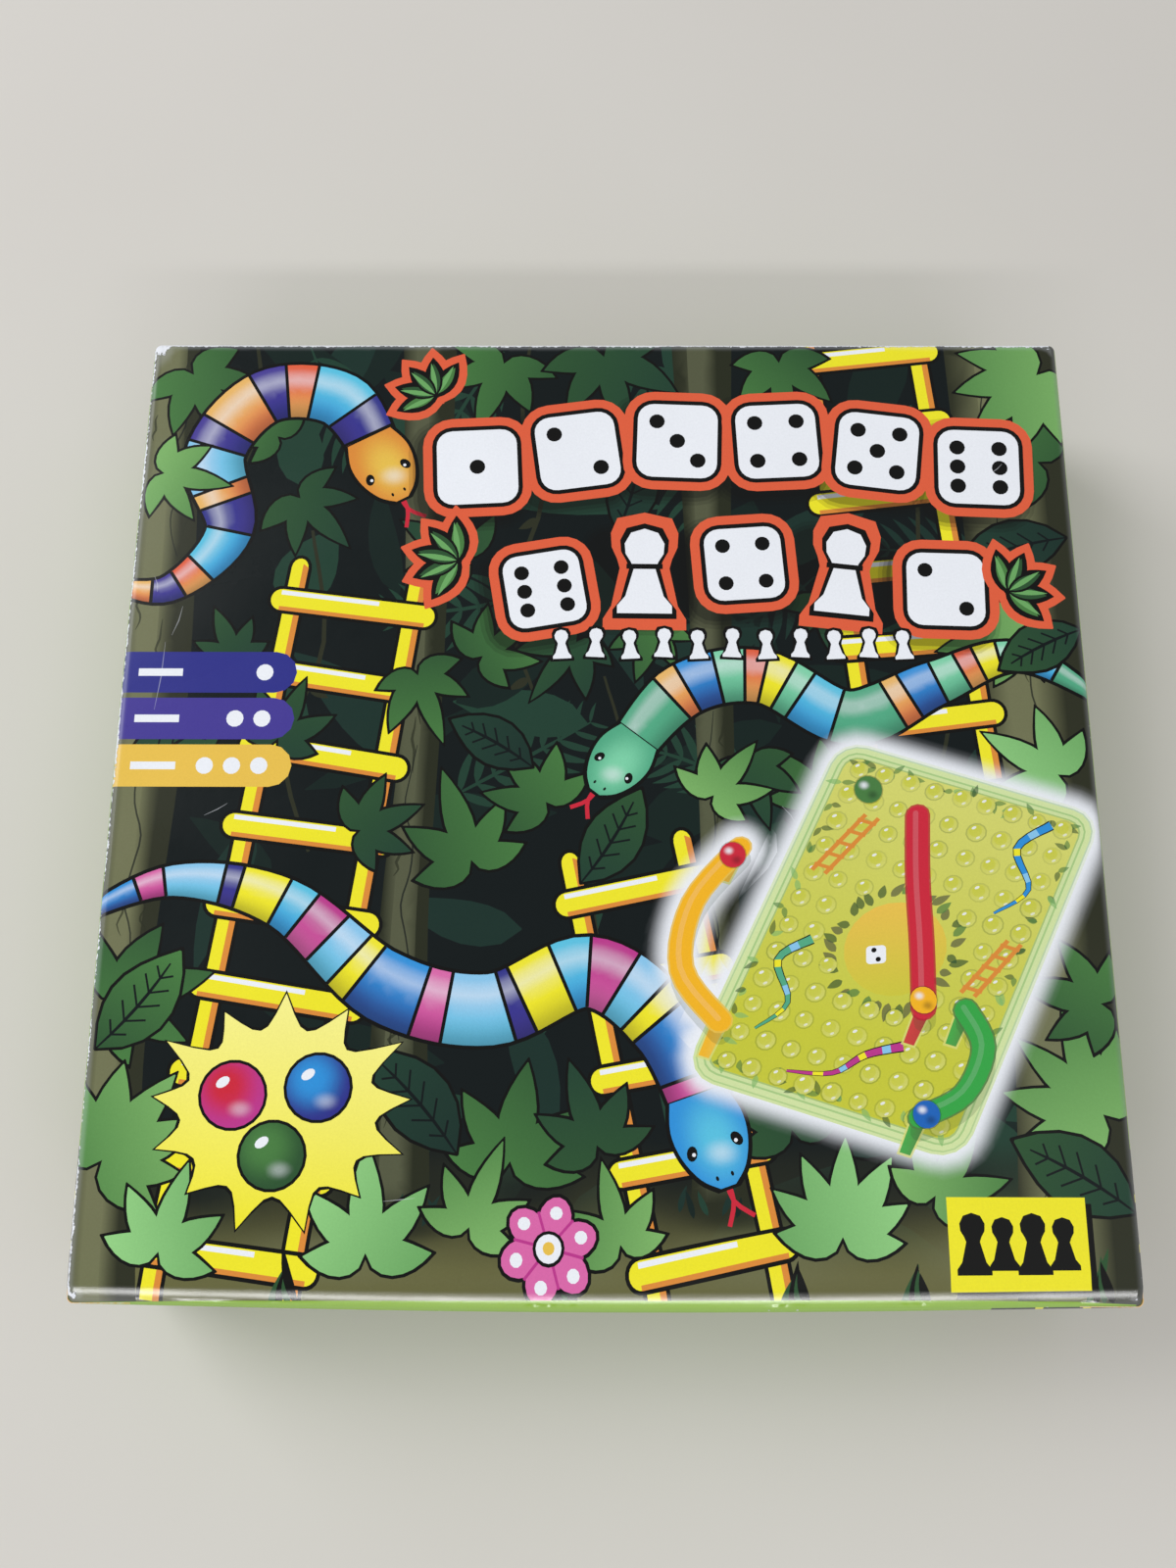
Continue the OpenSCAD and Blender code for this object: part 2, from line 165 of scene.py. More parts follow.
@dataclass(frozen=True)
class Fill:
    """A printed fill: one ink, or two graded from start to end or by a rule, at some opacity."""

    ink: Ink
    to: Ink | None = None
    start: Point = (0.0, 0.0)
    end: Point = (0.0, 1.0)
    veil: float = 1.0
    end_veil: float | None = None
    rule: Callable[[Point], float] | None = None

    @property
    def even(self) -> bool:
        """Whether it is the same all over."""
        return self.to is None and self.end_veil is None

    @property
    def opaque(self) -> bool:
        """Whether nothing under it shows."""
        return self.veil >= 1.0 and self.end_veil is None

    def share(self, p: Point) -> float:
        """How far a point lies from start to end.

        Args:
            p: A point of the sheet.

        Returns:
            0 before start, 1 beyond end.
        """
        if self.rule:
            return min(1.0, max(0.0, self.rule(p)))
        dx, dy = self.end[0] - self.start[0], self.end[1] - self.start[1]
        t = ((p[0] - self.start[0]) * dx + (p[1] - self.start[1]) * dy) / (dx * dx + dy * dy)
        return min(1.0, max(0.0, t))

    def over(self, under: Rgb, p: Point) -> Rgb:
        """Lays this fill over what is printed already.

        Args:
            under: The colour under it.
            p: A point of the sheet.

        Returns:
            The colour that shows there.
        """
        t = 0.0 if self.even else self.share(p)
        own = blend_rgb(self.ink.linear(), self.to.linear(), t) if self.to else self.ink.linear()
        veil = self.veil if self.end_veil is None else self.veil + (self.end_veil - self.veil) * t
        return blend_rgb(under, own, veil)


class Graph:
    """Short calls that lay out one node tree."""

    def __init__(self, tree: NodeTree) -> None:
        """Keeps the tree and starts the nodes' places at the left."""
        self.tree = tree
        self.count = 0

    def feed(self, target: NodeSocket, value: object) -> None:
        """Links an input to a socket, or sets it to a plain value.

        Args:
            target: The input that gets it.
            value: A socket, a number or a colour.
        """
        if isinstance(value, NodeSocket):
            self.tree.links.new(value, target)
        else:
            target.default_value = value

    def wire(self, node: Node, **values: object) -> None:
        """Feeds a node's inputs, named with underscores for spaces."""
        for key, value in values.items():
            self.feed(node.inputs[key.replace("_", " ")], value)

    def add(self, kind: str, *inputs: object, **values: object) -> Node:
        """Adds a node.

        Args:
            kind: The node's type.
            inputs: What its first inputs get, in order.
            values: Its properties, and what its other inputs get, by name.

        Returns:
            The new node.
        """
        node = self.tree.nodes.new(kind)
        node.location = (180 * (self.count % 12), -220 * (self.count // 12))
        self.count += 1
        for key, value in values.items():
            if hasattr(node, key):
                setattr(node, key, value)
            else:
                self.wire(node, **{key: value})
        for target, value in zip(node.inputs, inputs):
            self.feed(target, value)
        return node

    def times(self, a: object, b: object) -> NodeSocket:
        """The product of two numbers."""
        return self.add("ShaderNodeMath", a, b, operation="MULTIPLY").outputs[0]

    def plus(self, a: object, b: object) -> NodeSocket:
        """The sum of two numbers."""
        return self.add("ShaderNodeMath", a, b, operation="ADD").outputs[0]

    def minus(self, a: object, b: object) -> NodeSocket:
        """The difference of two numbers."""
        return self.add("ShaderNodeMath", a, b, operation="SUBTRACT").outputs[0]

    def mix(self, share: object, a: object, b: object) -> NodeSocket:
        """A mix of two colours.

        Args:
            share: How much of b, from 0 to 1.
            a: The colour at share 0.
            b: The colour at share 1.

        Returns:
            The mix.
        """
        node = self.add("ShaderNodeMix", share, data_type="RGBA")
        self.feed(node.inputs[6], a)
        self.feed(node.inputs[7], b)
        return node.outputs[2]

    def span(self, value: object, low: float, high: float, to_low: float = 0.0, to_high: float = 1.0) -> NodeSocket:
        """Maps low to high onto to_low to to_high, smoothly and clamped."""
        kind = "ShaderNodeMapRange"
        return self.add(kind, value, low, high, to_low, to_high, interpolation_type="SMOOTHSTEP").outputs[0]

    def place(self, stretch: Sequence[float]) -> NodeSocket:
        """Object coordinates, scaled along each axis."""
        where = self.add("ShaderNodeTexCoord").outputs["Object"]
        return self.add("ShaderNodeMapping", where, Scale=stretch).outputs[0]

    def noise(self, scale: object, detail: float, stretch: Sequence[float] = (1, 1, 1)) -> NodeSocket:
        """Noise between 0 and 1 about a half."""
        where = self.place(stretch)
        return self.add("ShaderNodeTexNoise", Vector=where, Scale=scale, Detail=detail).outputs[0]

    def cells(self, scale: float, stretch: Sequence[float] = (1, 1, 1)) -> NodeSocket:
        """The distance from the nearest of many scattered points."""
        where = self.place(stretch)
        return self.add("ShaderNodeTexVoronoi", feature="F1", Vector=where, Scale=scale).outputs["Distance"]

    def attribute(self, name: str, output: str = "Fac") -> NodeSocket:
        """One of the piece's own attributes, as a number or a colour."""
        return self.add("ShaderNodeAttribute", attribute_name=name).outputs[output]

    def toned(self, colour: NodeSocket, value: NodeSocket) -> NodeSocket:
        """A colour made lighter or darker."""
        return self.add("ShaderNodeHueSaturation", Color=colour, Value=value).outputs[0]

    def bump(
        self, height: NodeSocket, distance: float, strength: float = 1.0, under: NodeSocket | None = None
    ) -> NodeSocket:
        """A normal from a height.

        Args:
            height: The height, from 0 to 1.
            distance: How many metres a height of 1 is.
            strength: The share of it that shows.
            under: The normal that it is laid over.

        Returns:
            The normal.
        """
        more = {"Normal": under} if under else {}
        return self.add("ShaderNodeBump", Height=height, Distance=distance, Strength=strength, **more).outputs[0]

    def effect(self, tree: NodeTree, **values: float) -> bpy.types.NodeOutputs:
        """Places a shared effect with its own values, and gives its outputs."""
        return self.add("ShaderNodeGroup", node_tree=tree, **values).outputs


class Effects:
    """The shader groups that several finishes share, each built once."""

    def __init__(self) -> None:
        """Builds the groups."""
        self.grain = self.build_grain()
        self.worn_edge = self.build_worn_edge()
        self.smudge = self.build_smudge()

    @staticmethod
    def start(name: str, inputs: dict[str, float], outputs: Sequence[str]) -> tuple[Graph, object, Node]:
        """Opens a group with its sockets.

        Args:
            name: The group's name.
            inputs: Each input number and its default.
            outputs: The names of the masks that it puts out.

        Returns:
            The graph, the sockets of its input node, and its output node.
        """
        tree = bpy.data.node_groups.new(name, "ShaderNodeTree")
        for key, value in inputs.items():
            socket = tree.interface.new_socket(key, in_out="INPUT", socket_type="NodeSocketFloat")
            socket.default_value = value
        for key in outputs:
            tree.interface.new_socket(key, in_out="OUTPUT", socket_type="NodeSocketFloat")
        graph = Graph(tree)
        return graph, graph.add("NodeGroupInput").outputs, graph.add("NodeGroupOutput")

    def build_grain(self) -> NodeTree:
        """Fine grain with slow unevenness: the fibres of paper and card, the skin of plastic.

        Returns:
            The node group.
        """
        graph, given, sink = self.start("surface_grain", {"Scale": 900.0, "Slow": 0.35}, ["Grain", "Patches"])
        fine = graph.noise(given["Scale"], 4.0)
        coarse = graph.noise(graph.times(given["Scale"], 0.03), 3.0)
        uneven = graph.times(graph.minus(coarse, 0.5), given["Slow"])
        graph.wire(sink, Grain=graph.plus(fine, uneven), Patches=coarse)
        return graph.tree

    def build_worn_edge(self) -> NodeTree:
        """The mask of rubbed and chipped paper and of a highlight painted white along the back fold, from the piece's
        own wear attribute.

        Returns:
            The node group.
        """
        graph, given, sink = self.start("worn_edge", {"Scale": 420.0, "Reach": 1.0}, ["Worn"])
        fibres = graph.noise(given["Scale"], 6.0, (1, 1, 1.6))
        patches = graph.noise(38.0, 2.0)
        total = graph.plus(graph.times(fibres, 0.55), graph.times(patches, 0.45))
        limit = graph.minus(1.0, graph.times(graph.attribute("wear"), given["Reach"]))
        graph.wire(sink, Worn=graph.span(graph.minus(total, limit), -0.02, 0.03))
        return graph.tree

    def build_smudge(self) -> NodeTree:
        """Finger marks and dull patches on a gloss.

        Returns:
            The node group.
        """
        graph, given, sink = self.start("smudges", {"Scale": 22.0}, ["Dull"])
        wide = graph.noise(given["Scale"], 5.0, (1, 2.2, 1))
        small = graph.times(graph.noise(160.0, 4.0), 0.25)
        graph.wire(sink, Dull=graph.span(graph.plus(wide, small), 0.5, 0.78))
        return graph.tree


EFFECTS = Effects()


@dataclass(frozen=True)
class Finish:
    """What every finish has: a name and a way to start its material."""

    name: str

    def open(self) -> tuple[Material, Graph, Node]:
        """Starts the material.

        Returns:
            The material, its graph and its Principled shader.
        """
        material = bpy.data.materials.new(self.name)
        material.use_nodes = True
        material.node_tree.nodes.clear()
        graph = Graph(material.node_tree)
        shader = graph.add("ShaderNodeBsdfPrincipled")
        graph.add("ShaderNodeOutputMaterial", Surface=shader.outputs[0])
        return material, graph, shader


@dataclass(frozen=True)
class GlossPrint(Finish):
    """Printed paper under a gloss varnish, white where its folds are rubbed, with painted highlight along them."""

    stock: Ink = Ink.WHITE
    screen: float = 2600.0
    varnish: float = 0.13
    varnish_rough: float = 0.16
    varnish_ior: float = 1.7
    wave: float = 0.0042
    peel: float = 0.00006
    frayed: float = 0.0004

    def make(self) -> Material:
        """Builds the material.

        Returns:
            The material.
        """
        material, graph, shader = self.open()
        grain = graph.effect(EFFECTS.grain, Scale=1500.0, Slow=0.5)["Grain"]
        # Rubbed paper, and a highlight painted white along the back fold.
        worn_and_highlight = graph.effect(EFFECTS.worn_edge, Scale=900.0, Reach=1.0)["Worn"]
        dull = graph.effect(EFFECTS.smudge, Scale=16.0)["Dull"]
        # Painted highlight: every fold is made paler, partly as whitened paper, partly as the sheen of the creases.
        pale = graph.span(graph.attribute("wear"), 0.10, 0.42, 0.0, 0.13)
        shift = graph.plus(graph.times(grain, 0.10), graph.times(graph.cells(self.screen), 0.05))
        printed = graph.toned(graph.attribute("ink", "Color"), graph.plus(shift, 0.925))
        rough = graph.plus(graph.times(dull, 0.10), 0.24)
        pressed = graph.times(graph.attribute("crease"), 1 - self.varnish)
        wave = graph.bump(graph.noise(9.0, 2.0), self.wave)
        peel = graph.bump(graph.noise(260.0, 2.0), self.peel, 0.7, wave)
        graph.wire(
            shader,
            Base_Color=graph.mix(worn_and_highlight, graph.mix(pale, printed, self.stock.rgba), self.stock.rgba),
            Roughness=graph.plus(rough, graph.times(worn_and_highlight, 0.4)),
            Specular_IOR_Level=0.08,
            Coat_Weight=graph.times(graph.plus(self.varnish, pressed), graph.minus(1.0, worn_and_highlight)),
            Coat_Roughness=self.varnish_rough,
            Coat_IOR=self.varnish_ior,
            Normal=graph.bump(graph.times(worn_and_highlight, grain), self.frayed, 1.0, peel),
        )
        return material


@dataclass(frozen=True)
class PaperStock(Finish):
    """Paper or card: fibres, slow unevenness, and specks where it is recycled."""

    ink: Ink
    low: Ink
    fibre: float = 1100.0
    rough: float = 0.72
    specks: float = 0.0
    shine: float = 0.25
    lift: float = 0.00024

    def make(self) -> Material:
        """Builds the material.

        Returns:
            The material.
        """
        material, graph, shader = self.open()
        grain = graph.effect(EFFECTS.grain, Scale=self.fibre, Slow=0.8)["Grain"]
        strands = graph.noise(self.fibre * 0.5, 5.0, (1, 0.55, 1))
        share = graph.plus(graph.times(grain, 0.6), graph.times(strands, 0.4))
        colour = graph.mix(graph.span(share, 0.3, 0.72), self.low.rgba, self.ink.rgba)
        if self.specks:
            speck = graph.span(graph.cells(700.0, (1, 0.5, 1)), 0.05, 0.16, self.specks, 0.0)
            colour = graph.mix(speck, colour, Ink.BARK_DARK.rgba)
        graph.wire(
            shader,
            Base_Color=colour,
            Roughness=graph.plus(graph.times(grain, 0.1), self.rough - 0.05),
            Specular_IOR_Level=self.shine,
            Normal=graph.bump(share, self.lift),
        )
        return material


@dataclass(frozen=True)
class MouldedPlastic(Finish):
    """Coloured injection-moulded plastic: clear gloss, faint flow marks and handling scuffs."""

    ink: Ink
    low: Ink
    rough: float = 0.2
    glow: float = 0.3
    clear: float = 0.0
    shadow: float = 0.92

    def make(self) -> Material:
        """Builds the material.

        Returns:
            The material.
        """
        material, graph, shader = self.open()
        grain = graph.effect(EFFECTS.grain, Scale=700.0, Slow=1.0)
        dull = graph.effect(EFFECTS.smudge, Scale=60.0)["Dull"]
        if self.clear:
            passes = graph.times(graph.add("ShaderNodeLightPath").outputs["Is Shadow Ray"], self.clear * self.shadow)
            graph.wire(shader, Alpha=graph.minus(1.0, passes))
        graph.wire(
            shader,
            Base_Color=graph.mix(graph.span(grain["Patches"], 0.2, 0.8), self.low.rgba, self.ink.rgba),
            Roughness=graph.plus(graph.times(dull, 0.16), self.rough),
            IOR=1.49,
            Coat_Weight=0.3,
            Coat_Roughness=0.08,
            Subsurface_Weight=0.0 if self.clear else self.glow,
            Subsurface_Scale=0.002,
            Transmission_Weight=self.clear,
            Normal=graph.bump(grain["Grain"], 0.000004 if self.clear else 0.00002, 0.6),
        )
        return material


@dataclass(frozen=True)
class PaintedPlastic(Finish):
    """White moulded plastic with painted recesses, from the piece's own ink attribute."""

    def make(self) -> Material:
        """Builds the material.

        Returns:
            The material.
        """
        material, graph, shader = self.open()
        grain = graph.effect(EFFECTS.grain, Scale=900.0, Slow=1.0)["Grain"]
        dull = graph.effect(EFFECTS.smudge, Scale=90.0)["Dull"]
        value = graph.plus(graph.times(grain, 0.08), 0.94)
        graph.wire(
            shader,
            Base_Color=graph.toned(graph.attribute("ink", "Color"), value),
            Roughness=graph.plus(graph.times(dull, 0.2), 0.26),
            Coat_Weight=0.2,
            Coat_Roughness=0.1,
            Normal=graph.bump(grain, 0.00002, 0.6),
        )
        return material


@dataclass(frozen=True)
class StudioFloor(Finish):
    """The pale floor, with a very faint mottling."""

    dark: Rgba = (0.62, 0.60, 0.57, 1.0)
    light: Rgba = (0.66, 0.645, 0.62, 1.0)

    def make(self) -> Material:
        """Builds the material.

        Returns:
            The material.
        """
        material, graph, shader = self.open()
        colour = graph.mix(graph.noise(6.0, 3.0), self.dark, self.light)
        graph.wire(shader, Base_Color=colour, Roughness=0.9, Specular_IOR_Level=0.1)
        return material


def soft(value: float) -> float:
    """A smooth step from 0 to 1."""
    t = min(1.0, max(0.0, value))
    return t * t * (3 - 2 * t)


def curve_through(points: Line, steps: int = 6) -> Outline:
    """A smooth line through points.

    Args:
        points: The points that it passes.
        steps: Straight parts between two of them.

    Returns:
        The points of the line.
    """
    ends = [points[0], *points, points[-1]]
    line: Outline = []
    for a, b, c, d in zip(ends, ends[1:], ends[2:], ends[3:]):
        for k in range(steps):
            t = k / steps
            line.append(
                tuple(
                    0.5 * (2 * q + (r - p) * t + (2 * p - 5 * q + 4 * r - s) * t**2 + (3 * q - p - 3 * r + s) * t**3)
                    for p, q, r, s in zip(a, b, c, d)
                )
            )
    line.append(tuple(points[-1]))
    return line


def normals_along(line: Line) -> Outline:
    """The unit normals to the left of a line.

    Args:
        line: The line's points.

    Returns:
        A normal for each of them.
    """
    found = []
    for i in range(len(line)):
        a, b = line[max(i - 1, 0)], line[min(i + 1, len(line) - 1)]
        dx, dy = b[0] - a[0], b[1] - a[1]
        size = math.hypot(dx, dy) or 1.0
        found.append((-dy / size, dx / size))
    return found


def offset_line(line: Line, sides: Sequence[float]) -> Outline:
    """A line moved sideways by a distance at each point."""
    return [(p[0] + n[0] * s, p[1] + n[1] * s) for p, n, s in zip(line, normals_along(line), sides)]


def ribbon(line: Line, halves: Sequence[float]) -> Outline:
    """The outline of a band about a line.

    Args:
        line: The middle line.
        halves: Half the band's width at each point.

    Returns:
        The closed outline.
    """
    return offset_line(line, [-h for h in halves]) + offset_line(line, list(halves))[::-1]


def step_from(start: Point, angle: float, reach: float) -> Point:
    """The point at a reach from another, in a direction."""
    return (start[0] + math.cos(angle) * reach, start[1] + math.sin(angle) * reach)


def between(a: Point, b: Point, share: float) -> Point:
    """The point at a share of the way from a to b."""
    return (a[0] + (b[0] - a[0]) * share, a[1] + (b[1] - a[1]) * share)


def moved(points: Line, dx: float, dy: float) -> Outline:
    """Points moved by dx and dy."""
    return [(x + dx, y + dy) for x, y in points]


def block(x0: float, y0: float, x1: float, y1: float) -> Outline:
    """The rectangle between two corners."""
    return [(x0, y0), (x1, y0), (x1, y1), (x0, y1)]


def on_place(points: Line, centre: Point, turn: float, size: float = 1.0) -> Outline:
    """Turns, scales and moves points of a motif to its place."""
    c, s = math.cos(turn) * size, math.sin(turn) * size
    return [(centre[0] + x * c - y * s, centre[1] + x * s + y * c) for x, y in points]


def round_ended(line: Line, half: float) -> Outline:
    """The outline of a line drawn with a round pen.

    Args:
        line: The middle line.
        half: Half the pen's width.

    Returns:
        The closed outline.
    """
    body = ribbon(line, [half] * len(line))
    found = body[: len(line)]
    for tip, before, rest in ((line[-1], line[-2], body[len(line) :]), (line[0], line[1], [])):
        aim = math.atan2(tip[1] - before[1], tip[0] - before[0])
        x, y = found[-1]
        side = 1 if (x - tip[0]) * math.sin(aim) - (y - tip[1]) * math.cos(aim) < 0 else -1
        found += [step_from(tip, aim + side * a, half) for a in (1.05, 0.52, 0.0, -0.52, -1.05)] + rest
    return found


def off_line(line: Line, p: Point) -> tuple[float, float, int]:
    """How far a point lies from a line.

    Args:
        line: The line's points.
        p: The point.

    Returns:
        The distance, positive on the line's left; the share along the nearest part; and that part.
    """
    (x, y), best = p, (1e9, 0.0, 0)
    for i, (a, b) in enumerate(zip(line, line[1:])):
        dx, dy = b[0] - a[0], b[1] - a[1]
        t = min(1.0, max(0.0, ((x - a[0]) * dx + (y - a[1]) * dy) / max(dx * dx + dy * dy, 1e-9)))
        gap = math.hypot(x - a[0] - dx * t, y - a[1] - dy * t)
        if gap < abs(best[0]):
            left = dx * (y - a[1]) - dy * (x - a[0]) >= 0
            best = (gap if left else -gap, t, i)
    return best


def ring_points(centre: Point, rx: float, ry: float | None = None, turn: float = 0.0, count: int = 20) -> Outline:
    """Points round a circle or an ellipse.

    Args:
        centre: Its middle.
        rx: Its half width before the turn.
        ry: Its half height, if that differs.
        turn: Its turn.
        count: How many points.

    Returns:
        The closed outline.
    """
    angles = [2 * math.pi * k / count for k in range(count)]
    tall = rx if ry is None else ry
    return on_place([(rx * math.cos(a), tall * math.sin(a)) for a in angles], centre, turn)


def rounded_box(centre: Point, w: float, d: float, r: float, turn: float = 0.0, steps: int = 4) -> Outline:
    """The outline of a rectangle with rounded corners.

    Args:
        centre: Its middle.
        w: Its width before the turn.
        d: Its depth.
        r: The radius of its corners.
        turn: Its turn.
        steps: Straight parts to a corner.

    Returns:
        The closed outline.
    """
    found = []
    for qx, qy, start in ((1, 1, 0), (-1, 1, 90), (-1, -1, 180), (1, -1, 270)):
        for k in range(steps + 1):
            a = math.radians(start + 90 * k / steps)
            found.append((qx * (w / 2 - r) + r * math.cos(a), qy * (d / 2 - r) + r * math.sin(a)))
    return on_place(found, centre, turn)


@dataclass
class Print:
    """A flat printed sheet: shapes laid one over another, cut into one mesh of inked faces."""

    outline: Outline
    base: Fill
    guides: list[Outline] = field(default_factory=list)
    veins: list[Outline] = field(default_factory=list)
    shapes: list[Outline] = field(default_factory=list)
    fills: list[Fill] = field(default_factory=list)

    def lay(self, points: Line, fill: Fill | Ink) -> None:
        """Lays a shape over what is there.

        Args:
            points: Its outline, in either direction.
            fill: Its ink.
        """
        area = sum(a[0] * b[1] - b[0] * a[1] for a, b in zip(points, [*points[1:], points[0]]))
        if abs(area) < 0.02:
            return
        self.shapes.append(list(points) if area > 0 else list(points)[::-1])
        self.fills.append(fill if isinstance(fill, Fill) else Fill(fill))

    def line(self, points: Line, width: float, fill: Fill | Ink, taper: float = 0.0) -> None:
        """Lays a drawn line.

        Args:
            points: The points that it passes.
            width: Its width in the middle.
            fill: Its ink.
            taper: The share by which its ends are thinner.
        """
        last = len(points) - 1
        halves = [width / 2 * (1 - taper * abs(2 * i / last - 1) ** 2) for i in range(last + 1)]
        self.lay(ribbon(points, halves), fill)

    def vein(self, ring: Outline) -> None:
        """Cuts the sheet along a closed line, so that a graded fill has points there."""
        self.veins.append([*ring, ring[0]])

    def spot(self, centre: Point, rx: float, ry: float, ink: Ink, veil: float) -> None:
        """Lays a soft spot that fades to nothing at its rim.

        Args:
            centre: Its middle.
            rx: Its half width.
            ry: Its half height.
            ink: Its ink.
            veil: How opaque its middle is.
        """
        x, y = centre
        fill = Fill(
            ink, veil=0.0, end_veil=veil, rule=lambda p: soft(1 - math.hypot((p[0] - x) / rx, (p[1] - y) / ry))
        )
        self.lay(ring_points(centre, rx, ry, count=26), fill)
        for share in (0.8, 0.6, 0.4, 0.2):
            self.vein(ring_points(centre, rx * share, ry * share, count=16))

    def edged(self, points: Line, fill: Fill | Ink, edge: float) -> None:
        """Lays a shape that is star-like about its middle, with a dark outline.

        Args:
            points: Its outline.
            fill: Its ink.
            edge: How wide the dark outline is.
        """
        middle = tuple(sum(values) / len(points) for values in zip(*points))
        wide = []
        for p in points:
            wide.append(between(middle, p, 1 + edge / (math.dist(p, middle) or 1.0)))
        self.lay(wide, Ink.BLACK)
        self.lay(points, fill)

    def cut(self, plain: bool = False) -> tuple[list[Point], list[list[int]], list[list[int]]]:
        """Cuts the sheet along every outline, guide and vein.

        Args:
            plain: Leaves the shapes and the veins out and keeps the guides.

        Returns:
            The points, the faces, and for each face the shapes that cover it, lowest first.
        """
        points: list[Vector] = []
        faces: list[list[int]] = []
        edges: list[tuple[int, int]] = []
        for shape in [self.outline] + ([] if plain else self.shapes):
            faces.append(list(range(len(points), len(points) + len(shape))))
            points.extend(Vector(p) for p in shape)
        for guide in self.guides + ([] if plain else self.veins):
            start = len(points)
            points.extend(Vector(p) for p in guide)
            edges.extend((start + i, start + i + 1) for i in range(len(guide) - 1))
        found = delaunay_2d_cdt(points, edges, faces, 1, 1e-4)
        kept = [(f, sorted(o)) for f, o in zip(found[2], found[5]) if 0 in o]
        return [tuple(v) for v in found[0]], [f for f, _ in kept], [o for _, o in kept]

    def plain_at(self, covering: Sequence[int]) -> bool:
        """Whether a face has one colour all over.

        Args:
            covering: The shapes over it, lowest first.

        Returns:
            True if no graded fill shows on it.
        """
        for index in reversed(covering):
            fill = self.fills[index - 1] if index else self.base
            if not fill.even:
                return False
            if fill.opaque:
                return True
        return True

    def colour(self, covering: Sequence[int], p: Point) -> Rgb:
        """The colour that shows at a point.

        Args:
            covering: The shapes over it, lowest first.
            p: The point.

        Returns:
            The colour.
        """
        fills = [self.base, *(self.fills[index - 1] for index in covering if index)]
        lowest = max(k for k, fill in enumerate(fills) if fill.opaque)
        shown = (1.0, 1.0, 1.0)
        for fill in fills[lowest:]:
            shown = fill.over(shown, p)
        return shown


